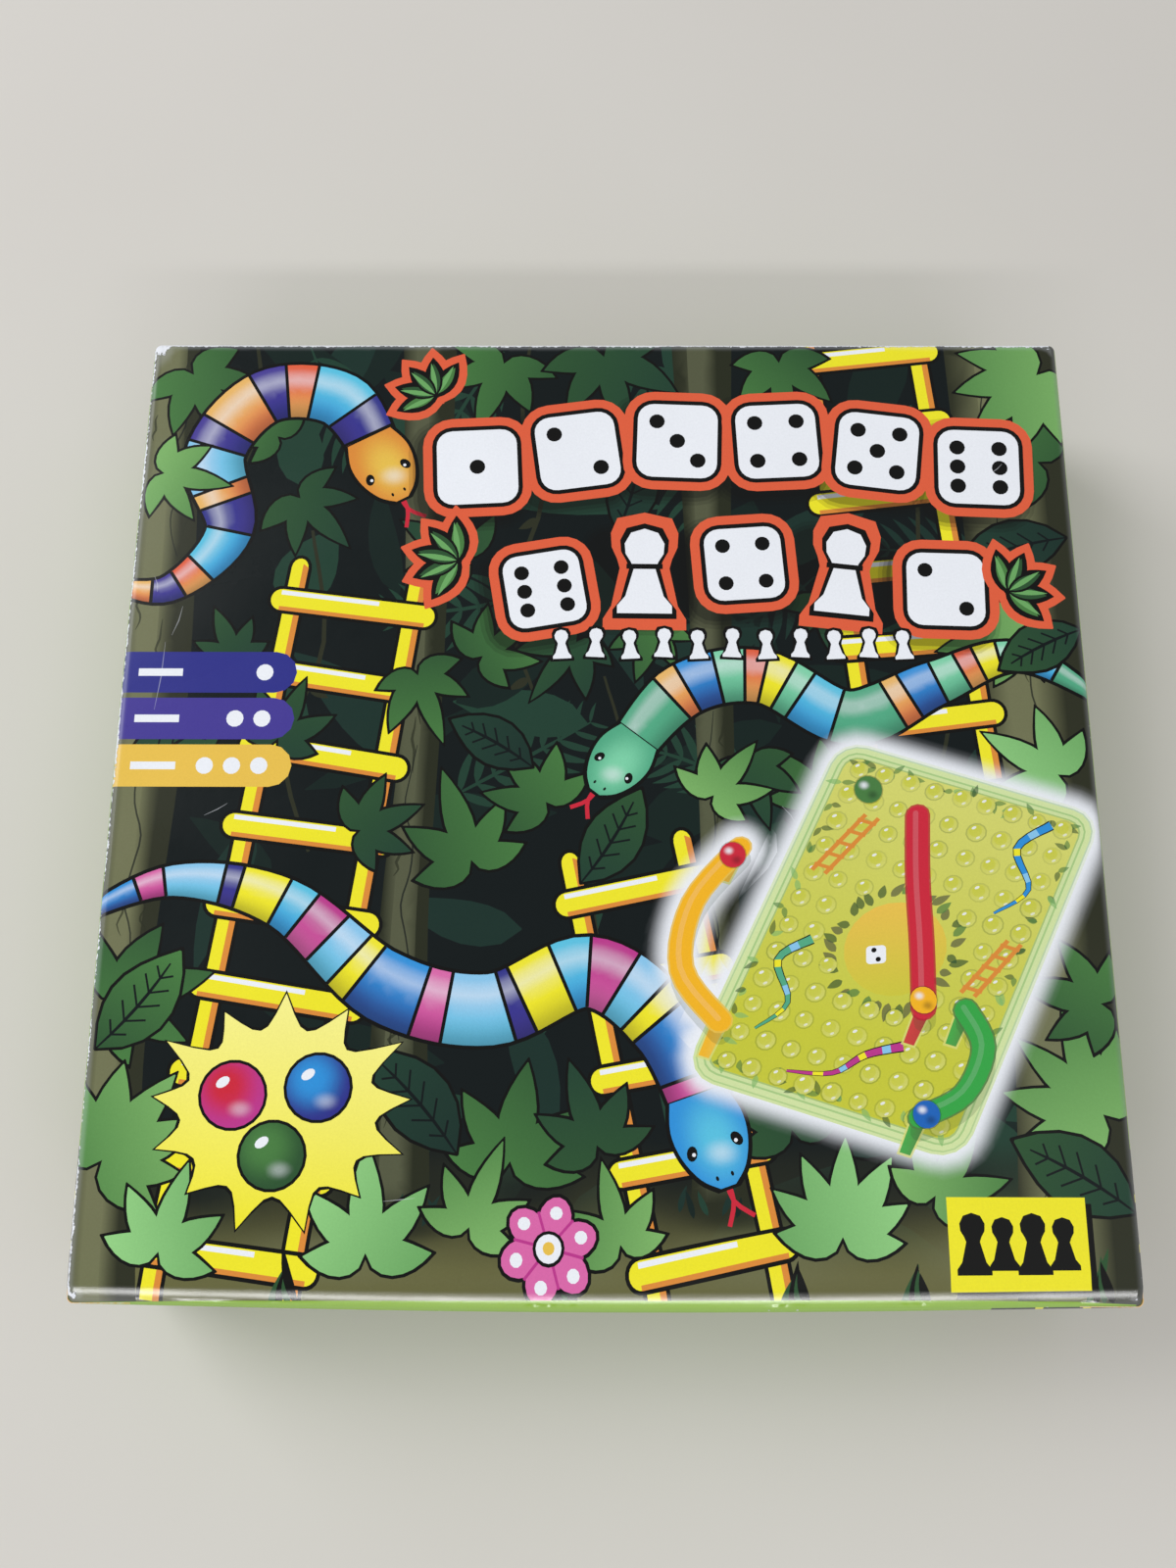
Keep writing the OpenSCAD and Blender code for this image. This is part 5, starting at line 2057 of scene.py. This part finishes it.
    def build(self, sheet: Print) -> Object:
        """Folds the printed sheet into the lid's cover.

        Args:
            sheet: The blank with its picture.

        Returns:
            The piece, a closed shell as thick as its paper.
        """
        bm = bmesh.new()
        ink = bm.loops.layers.float_color.new("ink")
        wear = bm.verts.layers.float.new("wear")
        crease = bm.verts.layers.float.new("crease")
        uv = bm.loops.layers.uv.new("OFBake")
        normals: list[Vector] = []
        rims = []
        for plain, depth in ((False, 0.0), (True, self.paper)):
            points, faces, covers = sheet.cut(plain)
            verts = [bm.verts.new(self.place(p, depth) * MM) for p in points]
            normals += [self.normal(p) * (-1 if plain else 1) for p in points]
            for vert, p in zip(verts, points):
                vert[wear], vert[crease] = (0.0, 0.0) if plain else (self.wear(p), self.crease(p))
            even: dict[tuple[int, ...], Rgb] = {}
            for corners, cover in zip(faces, covers):
                order = corners[::-1] if plain else corners
                face = bm.faces.new([verts[i] for i in order])
                face.smooth = True
                flat = sheet.plain_at(cover)
                for loop, i in zip(face.loops, order):
                    if plain:
                        loop[ink] = Ink.WHITE.rgba
                        loop[uv].uv = tuple(0.001 + 0.004 * (c / 400 + 0.5) for c in points[i])
                        continue
                    shown = even.get(tuple(cover)) if flat else None
                    shown = shown or sheet.colour(cover, points[i])
                    if flat:
                        even[tuple(cover)] = shown
                    loop[ink] = (*shown, 1.0)
                    loop[uv].uv = self.bake_place(points[i])
            rims.extend({edge for vert in verts for edge in vert.link_edges if edge.is_boundary})
        bmesh.ops.bridge_loops(bm, edges=rims)
        LOG.info("lid_cover: %d open edges", sum(e.is_boundary for e in bm.edges))
        mesh = bpy.data.meshes.new("lid_cover")
        bm.to_mesh(mesh)
        bm.free()
        mesh.normals_split_custom_set_from_vertices(normals)
        return stand("lid_cover", mesh)


def stand(name: str, data: ID) -> Object:
    """Puts a new object into the scene.

    Args:
        name: Its name.
        data: Its mesh, light or camera.

    Returns:
        The object.
    """
    made = bpy.data.objects.new(name, data)
    bpy.context.scene.collection.objects.link(made)
    return made


def slice_across(bm: BMesh, axis: int, cuts: Sequence[float]) -> None:
    """Cuts a mesh along planes across an axis.

    Args:
        bm: The mesh, whose faces stay joined.
        axis: 0 for x, 1 for y, 2 for z.
        cuts: Where the planes lie.
    """
    aim = [float(k == axis) for k in range(3)]
    for cut in cuts:
        geom = bm.verts[:] + bm.edges[:] + bm.faces[:]
        bmesh.ops.bisect_plane(bm, geom=geom, plane_co=[cut * part for part in aim], plane_no=aim)


@dataclass
class LidBoard:
    """The lid's greyboard tray under the paper, rounded to fit inside its folds."""

    half: float = 134.70
    low: float = 3.25
    top: float = 51.74
    thick: float = 1.55
    fold: float = 1.96
    give: SoftLid = field(default_factory=SoftLid)

    def build(self) -> Object:
        """Builds the tray: a rounded box without its floor, given its thickness inwards.

        Returns:
            The piece.
        """
        bm = bmesh.new()
        bmesh.ops.create_cube(bm, size=1.0)
        bmesh.ops.scale(bm, verts=bm.verts, vec=(2 * self.half, 2 * self.half, self.top - self.low))
        bmesh.ops.translate(bm, verts=bm.verts, vec=(0, 0, (self.top + self.low) / 2))
        bmesh.ops.delete(bm, geom=[f for f in bm.faces if f.normal.z < -0.5], context="FACES_ONLY")
        ease(bm, [e for e in bm.edges if max(v.co.z for v in e.verts) > self.top - 1], self.fold, 4, False)
        for x in range(-130, 131, 10):
            slice_across(bm, 0, [x])
            slice_across(bm, 1, [x])
        slice_across(bm, 1, (-133.2, -132, -130.3, -129.2, -127.8, -126, -122, -118))
        slice_across(bm, 2, (12, 22, 34, 42))
        bmesh.ops.recalc_face_normals(bm, faces=bm.faces)
        bmesh.ops.solidify(bm, geom=bm.faces[:], thickness=self.thick)
        for vert in bm.verts:
            vert.co = self.give.shift(vert.co) * MM
        return new_piece("lid_greyboard", bm, 40.0)


def ease(bm: BMesh, edges: list[BMEdge], size: float, segments: int, clamp: bool) -> None:
    """Rounds edges.

    Args:
        bm: The mesh.
        edges: Its edges to round.
        size: How far the rounding reaches.
        segments: How many faces it has across.
        clamp: Whether it stops where it would meet another.
    """
    how = {"offset_type": "OFFSET", "profile": 0.5, "affect": "EDGES", "material": -1}
    bmesh.ops.bevel(bm, geom=edges, offset=size, segments=segments, clamp_overlap=clamp, **how)


def new_piece(name: str, bm: BMesh, angle: float) -> Object:
    """Makes an object of a bmesh and smooths what is below an angle.

    Args:
        name: The piece's name.
        bm: Its mesh, in metres, which is freed.
        angle: The angle in degrees from which an edge stays sharp.

    Returns:
        The object.
    """
    mesh = bpy.data.meshes.new(name)
    bm.to_mesh(mesh)
    bm.free()
    mesh.polygons.foreach_set("use_smooth", [True] * len(mesh.polygons))
    mesh.set_sharp_from_angle(angle=math.radians(angle))
    return stand(name, mesh)


def hand_over(piece: Object, material: Material, node: str, body: str) -> None:
    """Dresses a piece and gives it the place of a CAD node.

    Args:
        piece: The piece.
        material: Its finish.
        node: The CAD node that it stands for.
        body: The body that it rides on.
    """
    piece.data.materials.append(material)
    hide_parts(node)
    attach(piece, body)
    LOG.info("%s: %d faces for %s", piece.name, len(piece.data.polygons), node)


@dataclass
class Softened:
    """A moulded or cut piece in the CAD shape, with its sharp edges eased."""

    name: str
    node: str
    slot: str
    body: str
    ease: float = 0.3
    segments: int = 2
    angle: float = 32.0

    def build(self, material: Material) -> Object:
        """Copies the CAD shape, eases its edges and dresses it.

        Args:
            material: The piece's finish.

        Returns:
            The piece, which stands for the CAD node.
        """
        bm = bmesh.new()
        bm.from_mesh(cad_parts[self.node].data)
        bmesh.ops.remove_doubles(bm, verts=bm.verts, dist=2e-6)
        bmesh.ops.dissolve_degenerate(bm, edges=bm.edges, dist=1e-6)
        bmesh.ops.dissolve_limit(bm, angle_limit=math.radians(0.6), verts=bm.verts, edges=bm.edges)
        if self.ease:
            sharp = [e for e in bm.edges if e.is_manifold and e.calc_face_angle() > math.radians(self.angle)]
            ease(bm, sharp, self.ease * MM, self.segments, True)
        bmesh.ops.triangulate(bm, faces=[f for f in bm.faces if len(f.verts) > 4])
        piece = new_piece(self.name, bm, self.angle)
        hand_over(piece, material, self.node, self.body)
        return piece


@dataclass
class Die:
    """The white die, with its sunk pips painted."""

    edge: float = 14.0
    pip_r: float = 1.3
    sunk: float = 0.03

    def build(self) -> None:
        """Builds the die and paints each face that lies below the die's flat sides."""
        finish = PaintedPlastic("white_die_plastic").make()
        piece = Softened("white_die", "die", "white_plastic", "die", 0.0).build(finish)
        low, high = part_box("die")
        layer = piece.data.color_attributes.new("ink", "FLOAT_COLOR", "CORNER")
        rows = (-0.25, 0, 0.25)
        for face in piece.data.polygons:
            spot = (face.center - (low + high) / 2) / MM
            axis = max(range(3), key=lambda k: abs(spot[k]))
            others = [spot[k] / self.edge for k in range(3) if k != axis]
            near = min(math.dist(others, (x, y)) for x in rows for y in rows) * self.edge
            painted = self.edge / 2 - abs(spot[axis]) > self.sunk and near < self.pip_r * 0.99
            for i in face.loop_indices:
                layer.data[i].color = Ink.BLACK.rgba if painted else Ink.WHITE.rgba


@dataclass
class PlayingSheet:
    """The printed sheet under the clear one: a numbered course of squares about a dish."""

    columns: int = 9
    rows: int = 12
    pitch: float = 18.0
    dish: float = 23.0
    corner: float = 11.0

    STROKES = {
        "0": [[
            (0.05, 0.9), (-0.3, 0.8), (-0.42, 0), (-0.3, -0.8), (0, -0.95),
            (0.3, -0.8), (0.42, 0), (0.3, 0.8), (0.12, 0.9),
        ]],
        "1": [[(-0.25, 0.6), (0.08, 0.95)], [(0.08, 0.98), (0.08, -0.95)]],
        "2": [[(-0.38, 0.6), (-0.1, 0.93), (0.3, 0.75), (0.3, 0.3), (-0.38, -0.9)], [(-0.42, -0.88), (0.42, -0.88)]],
        "3": [[(-0.38, 0.75), (0.05, 0.93), (0.36, 0.55), (0, 0.08), (0.4, -0.4), (0.05, -0.93), (-0.4, -0.7)]],
        "4": [[(0.1, 0.95), (-0.42, -0.35)], [(-0.46, -0.35), (0.45, -0.35)], [(0.18, 0.25), (0.18, -0.95)]],
        "5": [
            [(0.36, 0.88), (-0.33, 0.88)],
            [(-0.3, 0.9), (-0.34, 0.12)],
            [(-0.36, 0.15), (0.1, 0.25), (0.4, -0.3), (0.05, -0.93), (-0.4, -0.7)],
        ],
        "6": [[
            (0.3, 0.85), (-0.15, 0.7), (-0.4, -0.2), (-0.2, -0.9),
            (0.25, -0.85), (0.38, -0.35), (0.1, 0.05), (-0.22, -0.1),
        ]],
        "7": [[(-0.38, 0.88), (0.42, 0.88)], [(0.38, 0.9), (-0.1, -0.95)]],
        "8": [
            [(0.05, 0.92), (-0.3, 0.75), (-0.28, 0.3), (0, 0.12), (0.28, 0.3), (0.3, 0.75), (0.12, 0.9)],
            [(0.05, 0), (-0.34, -0.2), (-0.36, -0.7), (0, -0.95), (0.36, -0.7), (0.34, -0.2), (0.12, -0.02)],
        ],
        "9": [[
            (-0.3, -0.85), (0.15, -0.7), (0.4, 0.2), (0.2, 0.9),
            (-0.25, 0.85), (-0.38, 0.35), (-0.1, -0.05), (0.22, 0.1),
        ]],
    }

    def number(self, sheet: Print, text: str, spot: Point, size: float) -> None:
        """Prints a number.

        Args:
            sheet: The sheet that it is printed on.
            text: The number's figures.
            spot: Its middle.
            size: Its height.
        """
        for i, mark in enumerate(text):
            x = spot[0] + (i - (len(text) - 1) / 2) * size * 0.62
            for stroke in self.STROKES[mark]:
                sheet.line(on_place(stroke, (x, spot[1]), 0.0, size / 2), size * 0.15, Ink.BLACK)

    def build(self) -> None:
        """Prints the sheet and gives it its thickness."""
        low, high = (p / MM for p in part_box("playfield_card"))
        cx, cy, w, d = (low.x + high.x) / 2, (low.y + high.y) / 2, high.x - low.x, high.y - low.y
        sheet = Print(rounded_box((0, 0), w, d, self.corner, 0, 5), Fill(Ink.LIME))
        self.draw(sheet)
        bm = bmesh.new()
        ink = bm.loops.layers.float_color.new("ink")
        points, faces, covers = sheet.cut()
        verts = [bm.verts.new(((u + cx) * MM, (v + cy) * MM, high.z * MM)) for u, v in points]
        for corners, cover in zip(faces, covers):
            face = bm.faces.new([verts[i] for i in corners])
            for loop, i in zip(face.loops, corners):
                loop[ink] = (*sheet.colour(cover, points[i]), 1.0)
        rim = [e for e in bm.edges if e.is_boundary]
        wall = bmesh.ops.extrude_edge_only(bm, edges=rim)["geom"]
        lower = [v for v in wall if isinstance(v, BMVert)]
        bmesh.ops.translate(bm, verts=lower, vec=(0, 0, (low.z - high.z) * MM))
        made = bmesh.ops.edgeloop_fill(bm, edges=[e for e in bm.edges if e.is_boundary])["faces"]
        for face in made + [f for f in wall if isinstance(f, BMFace)]:
            for loop in face.loops:
                loop[ink] = Ink.WHITE.rgba
        bmesh.ops.triangulate(bm, faces=made)
        piece = new_piece("playfield_sheet", bm, 30.0)
        hand_over(piece, GlossPrint("printed_playing_sheet").make(), "playfield_card", "board")

    def draw(self, sheet: Print) -> None:
        """Draws the course: squares, dish, ladders, snakes, numbers and a leafy border.

        Args:
            sheet: The sheet that it is printed on.
        """
        m, half_w, half_d = Motifs(sheet, 23), self.columns * self.pitch / 2, self.rows * self.pitch / 2
        sheet.lay(block(-half_w, -half_d, half_w, half_d), Ink.FIELD)
        spots = self.squares(sheet, half_w, half_d)
        for k in range(18):
            a = math.pi * k / 9
            sheet.lay(m.blade(step_from((0, 0), a, 19), a, 9, 5.5), Ink.LEAF if k % 2 else Ink.LEAF_DARK)
        sheet.lay(ring_points((0, 0), 22, count=36), Ink.SAND)
        sheet.lay(ring_points((0, 0), 17, count=32), Fill(Ink.YELLOW, veil=0.6))
        for foot, head in (
            ((-72, -90), (-54, -36)), ((54, 18), (36, 72)), ((-18, 72), (-36, 99)), ((36, -72), (54, -45)),
        ):
            rungs = max(3, int(math.dist(foot, head) / 8))
            Motifs(sheet, 3).ladder(foot, head, 13, rungs, 1.4, 2.0)
        for points, bands, head in (
            (
                [(-54, 90), (-60, 72), (-48, 58), (-56, 40), (-46, 26)],
                [(Ink.BLUE, 1.5), (Ink.YELLOW, 1.0), (Ink.PINK, 1.0)],
                (Ink.CYAN, Ink.BLUE),
            ),
            (
                [(54, 40), (60, 54), (50, 70), (62, 84), (54, 100)],
                [(Ink.JADE, 1.5), (Ink.CYAN, 1.0), (Ink.YELLOW, 0.8)],
                (Ink.MINT, Ink.JADE),
            ),
            (
                [(-20, -98), (-4, -92), (2, -76), (18, -72), (26, -54)],
                [(Ink.SAND, 1.2), (Ink.PURPLE, 1.0), (Ink.CYAN, 1.0)],
                (Ink.AMBER, Ink.ORANGE),
            ),
            (
                [(-66, -20), (-52, -12), (-56, 4), (-44, 12)],
                [(Ink.CORAL, 1.2), (Ink.YELLOW, 1.0)],
                (Ink.CORAL, Ink.RED),
            ),
        ):
            m.snake(points, 2.8, bands, head)
        for count, (x, y) in enumerate(spots, 1):
            self.number(sheet, str(count), (x + 4.4, y - 6.2), 4.2)
        for k in range(64):
            side, t = k % 4, (k // 4 + 0.5) / 16 * 2 - 1
            root, a = (
                ((t * half_w, half_d + 1), UP),
                ((-half_w - 1, t * half_d), 3.14),
                ((t * half_w, -half_d - 1), -UP),
                ((half_w + 1, t * half_d), 0.0),
            )[side]
            leaf = m.blade(root, a + m.dice.uniform(-0.8, 0.8), m.dice.uniform(4.5, 6.5), 3.0)
            sheet.lay(leaf, m.dice.choice((Ink.LEAF, Ink.LEAF_DARK, Ink.LEAF_LIGHT)))

    def squares(self, sheet: Print, half_w: float, half_d: float) -> list[Point]:
        """Prints the paler squares, each second one outside the dish.

        Args:
            sheet: The sheet that they are printed on.
            half_w: Half the field's width.
            half_d: Half the field's depth.

        Returns:
            The squares' middles, in the order of play: to the right and back, row by row.
        """
        spots, half = [], self.pitch / 2
        for j in range(self.rows):
            for i in range(self.columns)[:: -1 if j % 2 else 1]:
                x, y = (i + 0.5) * self.pitch - half_w, (j + 0.5) * self.pitch - half_d
                if math.hypot(x, y) < self.dish + 7:
                    continue
                spots.append((x, y))
                if (i + j) % 2:
                    square = block(x - half, y - half, x + half, y + half)
                    sheet.lay(square, Fill(Ink.FIELD_PALE, veil=0.55))
        return spots


@dataclass
class Contents:
    """What lies in the box, each piece in its own plastic, card or paper."""

    def build(self) -> None:
        """Builds the pieces in the order in which they are packed."""
        card = PaperStock("insert_card", Ink.CARD_WHITE, Ink.CARD_LOW, 700.0, 0.85)
        wrap = PaperStock("green_wrap_paper", Ink.LIME, Ink.LIME_LOW, 1500.0, 0.42, shine=0.35)
        leaflet = PaperStock("leaflet_paper", Ink.WHITE, Ink.CARD_WHITE, 1300.0, 0.55)
        rim = MouldedPlastic("green_clear_frame", Ink.FRAME, Ink.FRAME_LOW, 0.2, 0.7)
        Softened("insert_card", "card_insert", "white_card", "base", 0.35).build(card.make())
        Softened("base_cover", "base_wrap", "plain_wrap", "base", 0.1).build(wrap.make())
        Softened("rules_sheet", "rules_leaflet", "white_paper", "rules", 0.06, 1).build(leaflet.make())
        Softened("tray_frame", "board_frame", "green_clear_plastic", "board", 0.6, 3).build(rim.make())
        clear = MouldedPlastic("clear_sheet_plastic", Ink.CLEAR, Ink.CLEAR_LOW, 0.05, 0.0, 0.94).make()
        Softened("clear_dimple_sheet", "dimple_sheet", "clear_plastic", "board", 0.22, 2, 34.0).build(clear)
        Softened("clear_sockets", "post_sockets", "clear_plastic", "board", 0.15).build(clear)
        for colour, bend, ink, low in (
            ("yellow", "curved", Ink.PLASTIC_YELLOW, Ink.AMBER),
            ("green", "curved", Ink.PLASTIC_GREEN, Ink.LEAF),
            ("red", "straight", Ink.RED, Ink.CRIMSON),
            ("blue", "", Ink.PLASTIC_BLUE, Ink.BLUE),
        ):
            plastic = MouldedPlastic(f"{colour}_moulded_plastic", ink, low).make()
            parts = [(f"{colour}_{bend}_chute", 0.4, 3)] if bend else []
            parts += [(f"{colour}_{size}_post", 0.3, 2) for size in ("tall", "short") if bend]
            for node, ease_size, segments in (*parts, (f"{colour}_ball", 0.0, 2)):
                Softened(f"{node}_moulding", node, f"{colour}_plastic", node, ease_size, segments).build(plastic)
        Die().build()
        PlayingSheet().build()


@dataclass
class Studio:
    """The pale floor, the soft lights and the camera."""

    lens: float = 29.07
    place: tuple[float, float, float] = (-0.00292, -0.08355, 0.38853)
    turn: tuple[float, float, float] = (13.78, 0.218, 0.175)
    floor_half: float = 9.0
    floor_drop: float = 0.0002
    sky: Rgba = (1.0, 0.99, 0.97, 1.0)
    sky_strength: float = 0.50

    def build(self) -> None:
        """Makes all of them."""
        self.floor()
        self.lights()
        self.camera()

    def floor(self) -> None:
        """Lays the floor just under the box."""
        bm = bmesh.new()
        bmesh.ops.create_grid(bm, x_segments=4, y_segments=4, size=self.floor_half)
        bmesh.ops.translate(bm, verts=bm.verts, vec=(0, 0, -self.floor_drop))
        mesh = bpy.data.meshes.new("floor")
        bm.to_mesh(mesh)
        bm.free()
        mesh.materials.append(StudioFloor("studio_floor").make())
        stand("floor", mesh)

    def lights(self) -> None:
        """A pale sky all round, a wide window at the far left, a weak fill and a low near window."""
        world = bpy.data.worlds.new("studio")
        bpy.context.scene.world = world
        world.use_nodes = True
        sky = world.node_tree.nodes["Background"].inputs
        sky["Color"].default_value, sky["Strength"].default_value = self.sky, self.sky_strength
        for name, place, aim, size, power in (
            ("window", (-1.30, 0.72, 1.25), (0, 0, 0), (0.9, 1.3), 18.5),
            ("fill", (0.9, -0.7, 1.6), (0, 0, 0), (1.4, 1.4), 2.4),
            ("near_window", (0.0, -1.19, 1.12), (0, -0.13, 0.05), (1.6, 0.10), 7.4),
        ):
            light = bpy.data.lights.new(name, "AREA")
            light.shape, light.size, light.size_y, light.energy = "RECTANGLE", *size, power
            lamp = stand(name, light)
            lamp.location = place
            lamp.rotation_euler = (Vector(aim) - Vector(place)).to_track_quat("-Z", "Y").to_euler()

    def camera(self) -> None:
        """The camera at the photograph's angle."""
        data = bpy.data.cameras.new("camera")
        data.lens, data.sensor_width, data.sensor_fit = self.lens, 36.0, "AUTO"
        data.clip_start = 0.01
        camera = stand("camera", data)
        camera.location = self.place
        camera.rotation_euler = tuple(math.radians(a) for a in self.turn)
        bpy.context.scene.camera = camera


@dataclass
class Lid:
    """The lid: its printed cover and its greyboard."""

    cover: FoldedCover = field(default_factory=FoldedCover)
    board: LidBoard = field(default_factory=LidBoard)

    def build(self, grey: Material) -> None:
        """Prints and folds the cover and builds the greyboard under it.

        Args:
            grey: The greyboard's finish.
        """
        sheet = self.cover.sheet()
        LidPicture(self.cover.flat, self.cover.reach).draw(sheet)
        cover = self.cover.build(sheet)
        hand_over(cover, GlossPrint("printed_gloss_paper").make(), "lid_wrap", "lid")
        hand_over(self.board.build(), grey, "lid_board", "lid")


def dress(node: str, material: Material) -> None:
    """Gives a CAD node its material.

    Args:
        node: The node's name.
        material: Its finish.
    """
    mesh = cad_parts[node].data
    mesh.materials.clear()
    mesh.materials.append(material)
    LOG.info("%s: dressed as it is", node)


def main() -> None:
    """Builds every piece in order and dresses the CAD nodes."""
    logging.basicConfig(level=logging.INFO, format="%(name)s: %(message)s")
    bpy.context.scene.view_settings.view_transform = "Standard"
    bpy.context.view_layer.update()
    Studio().build()
    grey = PaperStock("greyboard", Ink.GREY_BOARD, Ink.GREY_BOARD_LOW, 500.0, 0.9, 0.5).make()
    Lid().build(grey)
    stays = PaperStock("stay_paper", Ink.SAND, Ink.CARD, 1200.0, 0.7).make()
    dress("base_board", grey)
    dress("base_bottom_sheet", PaperStock("base_paper", Ink.CARD_WHITE, Ink.CARD_LOW, 1200.0, 0.7).make())
    dress("lid_corner_stays", stays)
    dress("base_corner_stays", stays)
    Contents().build()


if __name__ == "__main__":
    main()
